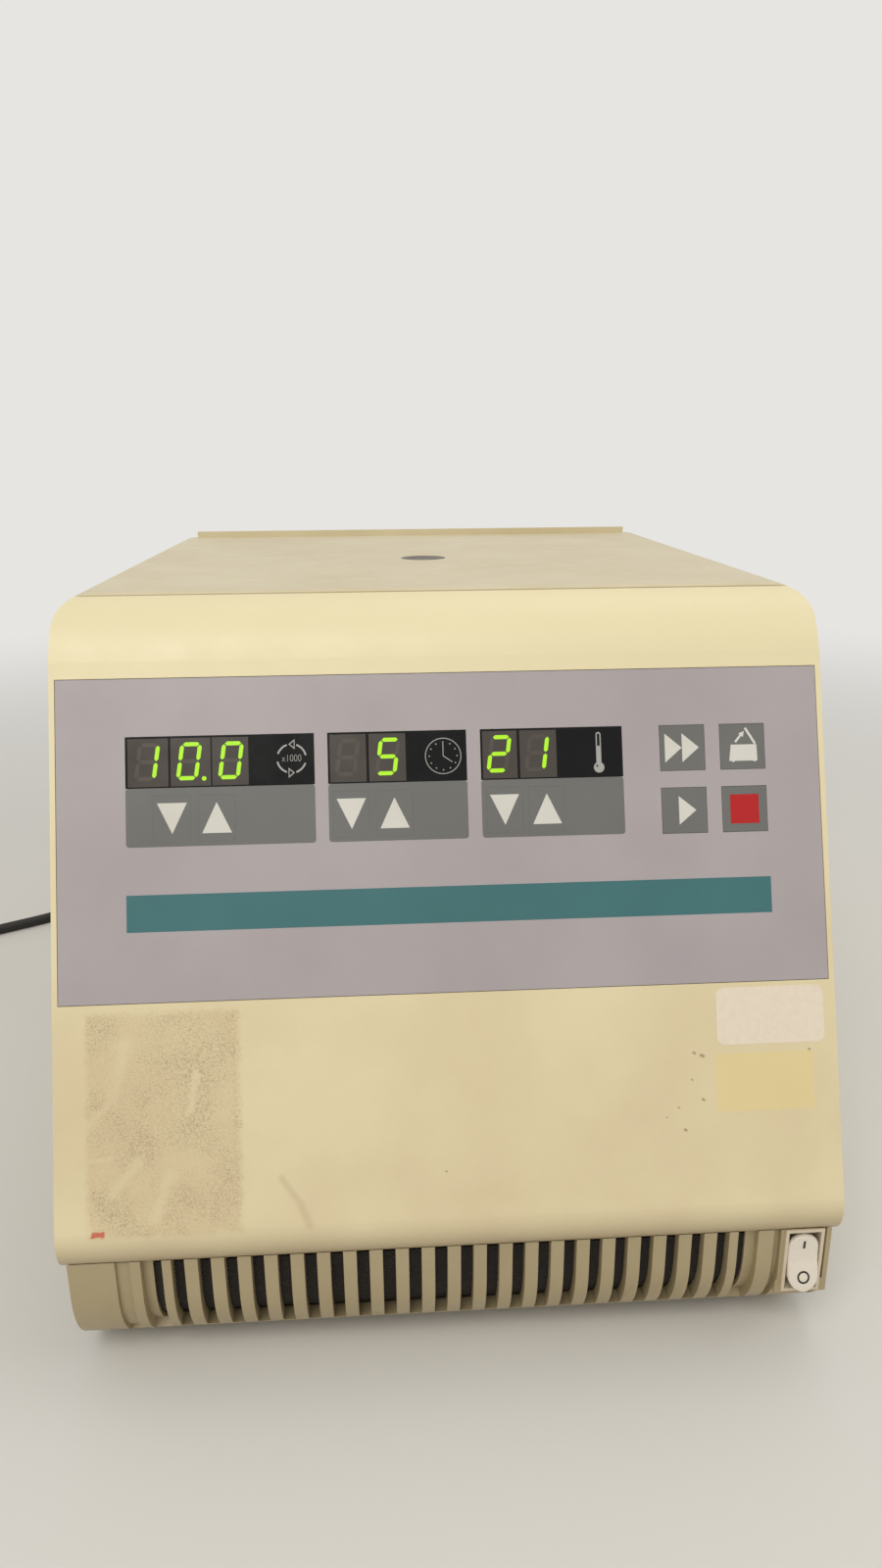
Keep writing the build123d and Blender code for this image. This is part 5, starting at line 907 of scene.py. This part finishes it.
@dataclass
class MainsLead:
    """The mains lead: down from its connector, round to the left side, and wound up beside the cabinet."""

    diameter: float = 7.0
    route: tuple = ((-95, 326, 76), (-95, 366, 76), (-99, 410, 44), (-118, 446, 14), (-160, 462, 3.5),
                    (-206, 448, 3.5), (-238, 412, 3.5), (-246, 352, 3.5), (-232, 282, 3.5), (-228, 214, 3.5),
                    (-247, 165, 3.5), (-335, 115, 3.5), (-373.6, 80.2, 3.5))
    loops: int = 3
    step: float = 9.0
    middle: float = 38.5
    lift: float = 7.8
    entry: float = 222.0
    last_turns: float = 2.75
    per_turn: int = 16
    tail: tuple = ((30, 0, 1), (72, -6, 0), (116, -20, 0), (156, -40, 1), (182, -56, 1))
    length: float = 2.34

    @property
    def share(self) -> float:
        """How near the smooth line keeps to its control points: their share of the radius."""
        return 0.75 + 0.25 * math.cos(2 * math.pi / self.per_turn)

    def winding(self, turned: np.ndarray) -> np.ndarray:
        """Points of the coil by the angle wound so far.

        The radius shrinks a step a turn, swings back over half a turn while the lead climbs one layer on
        a cosine, and grows a step a turn again.
        """
        rate = self.step / (2 * math.pi)
        outer = self.middle + self.loops * self.step / 2
        inner = self.middle - self.loops * self.step / 2
        back = self.loops * 2 * math.pi
        over = np.clip(turned - back, 0, math.pi)
        after = np.clip(turned - back - math.pi, 0, None)
        radius = np.where(turned <= back, outer - rate * turned,
                          inner - rate * (over - over ** 2 / math.pi) + rate * after)
        height = self.diameter / 2 + self.lift * (1 - np.cos(over)) / 2
        heading = math.radians(self.entry)
        start = heading - math.atan2(outer, -rate)
        first = around(*self.route[-1][:2], self.diameter, heading)
        centre = around(*first, -outer, start)
        # Control points stand out a little so that the smooth line, not its polygon, has the radius
        return np.column_stack([around(*centre, radius / self.share, start + turned), height])

    def points(self) -> np.ndarray:
        """Control points of the whole lead: its route, the coil and the tail to the plug."""
        turns = self.loops + 0.5 + self.last_turns
        coil = self.winding(np.linspace(0, turns * 2 * math.pi, round(turns * self.per_turn) + 1))
        end = coil[-1].copy()
        centre = self.winding(np.array([0.0, math.pi])).mean(0)
        heading = coil[-1] - coil[-2]
        turn = math.pi / self.per_turn
        along = np.array([heading[0] * math.cos(turn) - heading[1] * math.sin(turn),
                          heading[0] * math.sin(turn) + heading[1] * math.cos(turn), 0.0])
        along /= np.linalg.norm(along)
        aside = np.array([-along[1], along[0], 0.0])
        end[:2] = centre[:2] + (end[:2] - centre[:2]) * self.share
        low = np.array([0, 0, self.diameter / 2])
        start = np.array([end[0], end[1], 0.0]) + along * self.diameter
        tail = [start + along * far + aside * off + low + np.array([0, 0, self.lift * up])
                for far, off, up in self.tail]
        return np.concatenate([np.array(self.route, float), coil, np.array(tail)])

    def build(self) -> None:
        points = self.points()
        curve = bpy.data.curves.new("mains_lead", "CURVE")
        curve.dimensions = "3D"
        curve.bevel_depth = self.diameter / 2 * MM
        curve.bevel_resolution = 5
        curve.resolution_u = 8
        curve.use_fill_caps = True
        line = curve.splines.new("NURBS")
        line.points.add(len(points) - 1)
        line.points.foreach_set("co", np.column_stack([points * MM, np.ones(len(points))]).ravel())
        line.order_u = 3
        line.use_endpoint_u = True
        lead = linked("mains_lead", curve)
        dress(lead, PVC, "cabinet")
        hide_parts("mains_cord", "cord_coil", "cord_tail")


@dataclass
class LabelRemnant:
    """The paper backing that a label left on the front, with rounded corners."""

    left: float = 99.3
    right: float = 140.3
    top: float = 127.3
    bottom: float = 148.6
    corner: float = 3.0

    def build(self) -> None:
        """Lays the thin paper on the slope."""
        outline = rectangle(self.left, self.right, -self.bottom, -self.top, self.corner)
        dress(printed("label_backing", [outline], thick=0.12), PAPER, "cabinet")


@dataclass
class Studio:
    """The floor, the soft lamps, the pale surroundings and the camera."""

    floor_hex: str = "DDDBD6"
    floor_rings: tuple = (0.0001, 300, 1200, 4000, 12000)
    floor_steps: int = 48
    behind_hex: str = "E6E5E2"
    sky: float = 0.5
    aim: tuple = (0.0, 0.0, 0.15)
    warm: tuple = (1.0, 0.975, 0.93)
    lens_px: float = 1096.97
    photo_px: int = 1600
    eye: tuple = (-24.116, -600.945, 337.048)
    right: tuple = (0.99808699, -0.06138955, -0.00732738)
    down: tuple = (-0.02540445, -0.29918076, -0.95385821)
    ahead: tuple = (0.05636471, 0.95221962, -0.30016799)
    lamps: tuple = (("lamp_front", (-0.6, -1.7, 1.9), 1.3, 24.0), ("lamp_above", (0.4, 0.3, 2.0), 1.2, 4.0),
                    ("lamp_right", (1.6, -0.5, 1.2), 0.9, 5.0))

    def build(self) -> None:
        """Sets up the surroundings, the lamps and the camera."""
        self.lay_floor()
        self.light()
        self.place_camera()

    def seen(self, tree: NodeTree) -> NodeSocket:
        """1 for rays from the camera, from gloss and through glass, and 0 for the rays that light things."""
        path = add(tree, "LightPath")
        gloss = add(tree, "Math", {0: path.outputs["Is Camera Ray"], 1: path.outputs["Is Glossy Ray"]},
                    operation="MAXIMUM")
        return add(tree, "Math", {0: gloss.outputs[0], 1: path.outputs["Is Transmission Ray"]},
                   operation="MAXIMUM").outputs[0]

    def lay_floor(self) -> None:
        """Lays a wide floor that fades into the surroundings far from the object."""
        ring = np.linspace(0, 2 * math.pi, self.floor_steps, endpoint=False)
        reach = np.array(self.floor_rings)[:, None]
        flat = around(0, 0, reach, ring)
        points = np.concatenate([flat, np.zeros((*flat.shape[:2], 1))], axis=-1)
        floor = new_mesh("studio_floor", points.reshape(-1, 3), grid_faces(*flat.shape[:2]))
        weld(floor, 0.01)
        made = bpy.data.materials.new("plain_pale_floor")
        made.use_nodes = True
        tree = made.node_tree
        tree.nodes.clear()
        place = add(tree, "TexCoord").outputs["Object"]
        speck = add(tree, "TexNoise", {"Vector": place, "Scale": 90.0, "Detail": 4.0})
        bump = add(tree, "Bump", {"Strength": 0.3, "Distance": 0.0002, "Height": speck.outputs["Fac"]})
        matt = add(tree, "BsdfPrincipled", {"Base Color": linear(self.floor_hex), "Roughness": 0.6,
                                            "Normal": bump.outputs[0]})
        far = add(tree, "VectorMath", {0: place}, operation="LENGTH")
        fade = add(tree, "MapRange", {"Value": far.outputs["Value"], "From Min": 0.5, "From Max": 1.7},
                   interpolation_type="SMOOTHSTEP")
        share = add(tree, "Math", {0: fade.outputs[0], 1: self.seen(tree)}, operation="MULTIPLY")
        glow = add(tree, "Emission", {"Color": linear(self.behind_hex)})
        mixed = add(tree, "MixShader", {0: share.outputs[0], 1: matt.outputs[0], 2: glow.outputs[0]})
        end = add(tree, "OutputMaterial")
        tree.links.new(mixed.outputs[0], end.inputs["Surface"])
        floor.data.materials.append(made)

    def light(self) -> None:
        """Sets the even sky and the soft lamps."""
        world = bpy.data.worlds.new("studio_sky")
        bpy.context.scene.world = world
        world.use_nodes = True
        tree = world.node_tree
        tree.nodes.clear()
        even = add(tree, "Background", {"Color": (1.0, 0.99, 0.97, 1.0), "Strength": self.sky})
        shown = add(tree, "Background", {"Color": linear(self.behind_hex), "Strength": 1.0})
        mixed = add(tree, "MixShader", {0: self.seen(tree), 1: even.outputs[0], 2: shown.outputs[0]})
        end = add(tree, "OutputWorld")
        tree.links.new(mixed.outputs[0], end.inputs["Surface"])
        for name, spot, size, power in self.lamps:
            lamp = bpy.data.lights.new(name, "AREA")
            lamp.size = size
            lamp.energy = power
            lamp.color = self.warm
            thing = linked(name, lamp)
            thing.location = spot
            thing.rotation_euler = (Vector(self.aim) - Vector(spot)).to_track_quat("-Z", "Y").to_euler()

    def place_camera(self) -> None:
        """Places the camera at the photograph's viewpoint, turned and zoomed as it was."""
        camera = bpy.data.cameras.new("photo_camera")
        camera.sensor_fit = "VERTICAL"
        camera.sensor_height = 36.0
        camera.lens = self.lens_px * camera.sensor_height / self.photo_px
        camera.clip_start = 0.01
        thing = linked("photo_camera", camera)
        turn = np.array([self.right, -np.array(self.down), -np.array(self.ahead)]).T
        thing.matrix_world = Matrix.Translation(Vector(self.eye) * MM) @ Matrix(turn.tolist()).to_4x4()
        bpy.context.scene.camera = thing
        bpy.context.scene.view_settings.view_transform = "Standard"


def main() -> None:
    """Loads the frame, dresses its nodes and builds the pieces."""
    logging.basicConfig(level=logging.INFO, format="%(name)s: %(message)s")
    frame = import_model()
    for finish, names in NODE_FINISH.items():
        for name in names:
            dress(frame["nodes"][name], finish)
            LOG.info("%s is %s", name, finish.name)
    for assembly in (ControlPanel(), MainsSwitch(), MainsLead(), LabelRemnant(), Studio()):
        assembly.build()


if __name__ == "__main__":
    main()
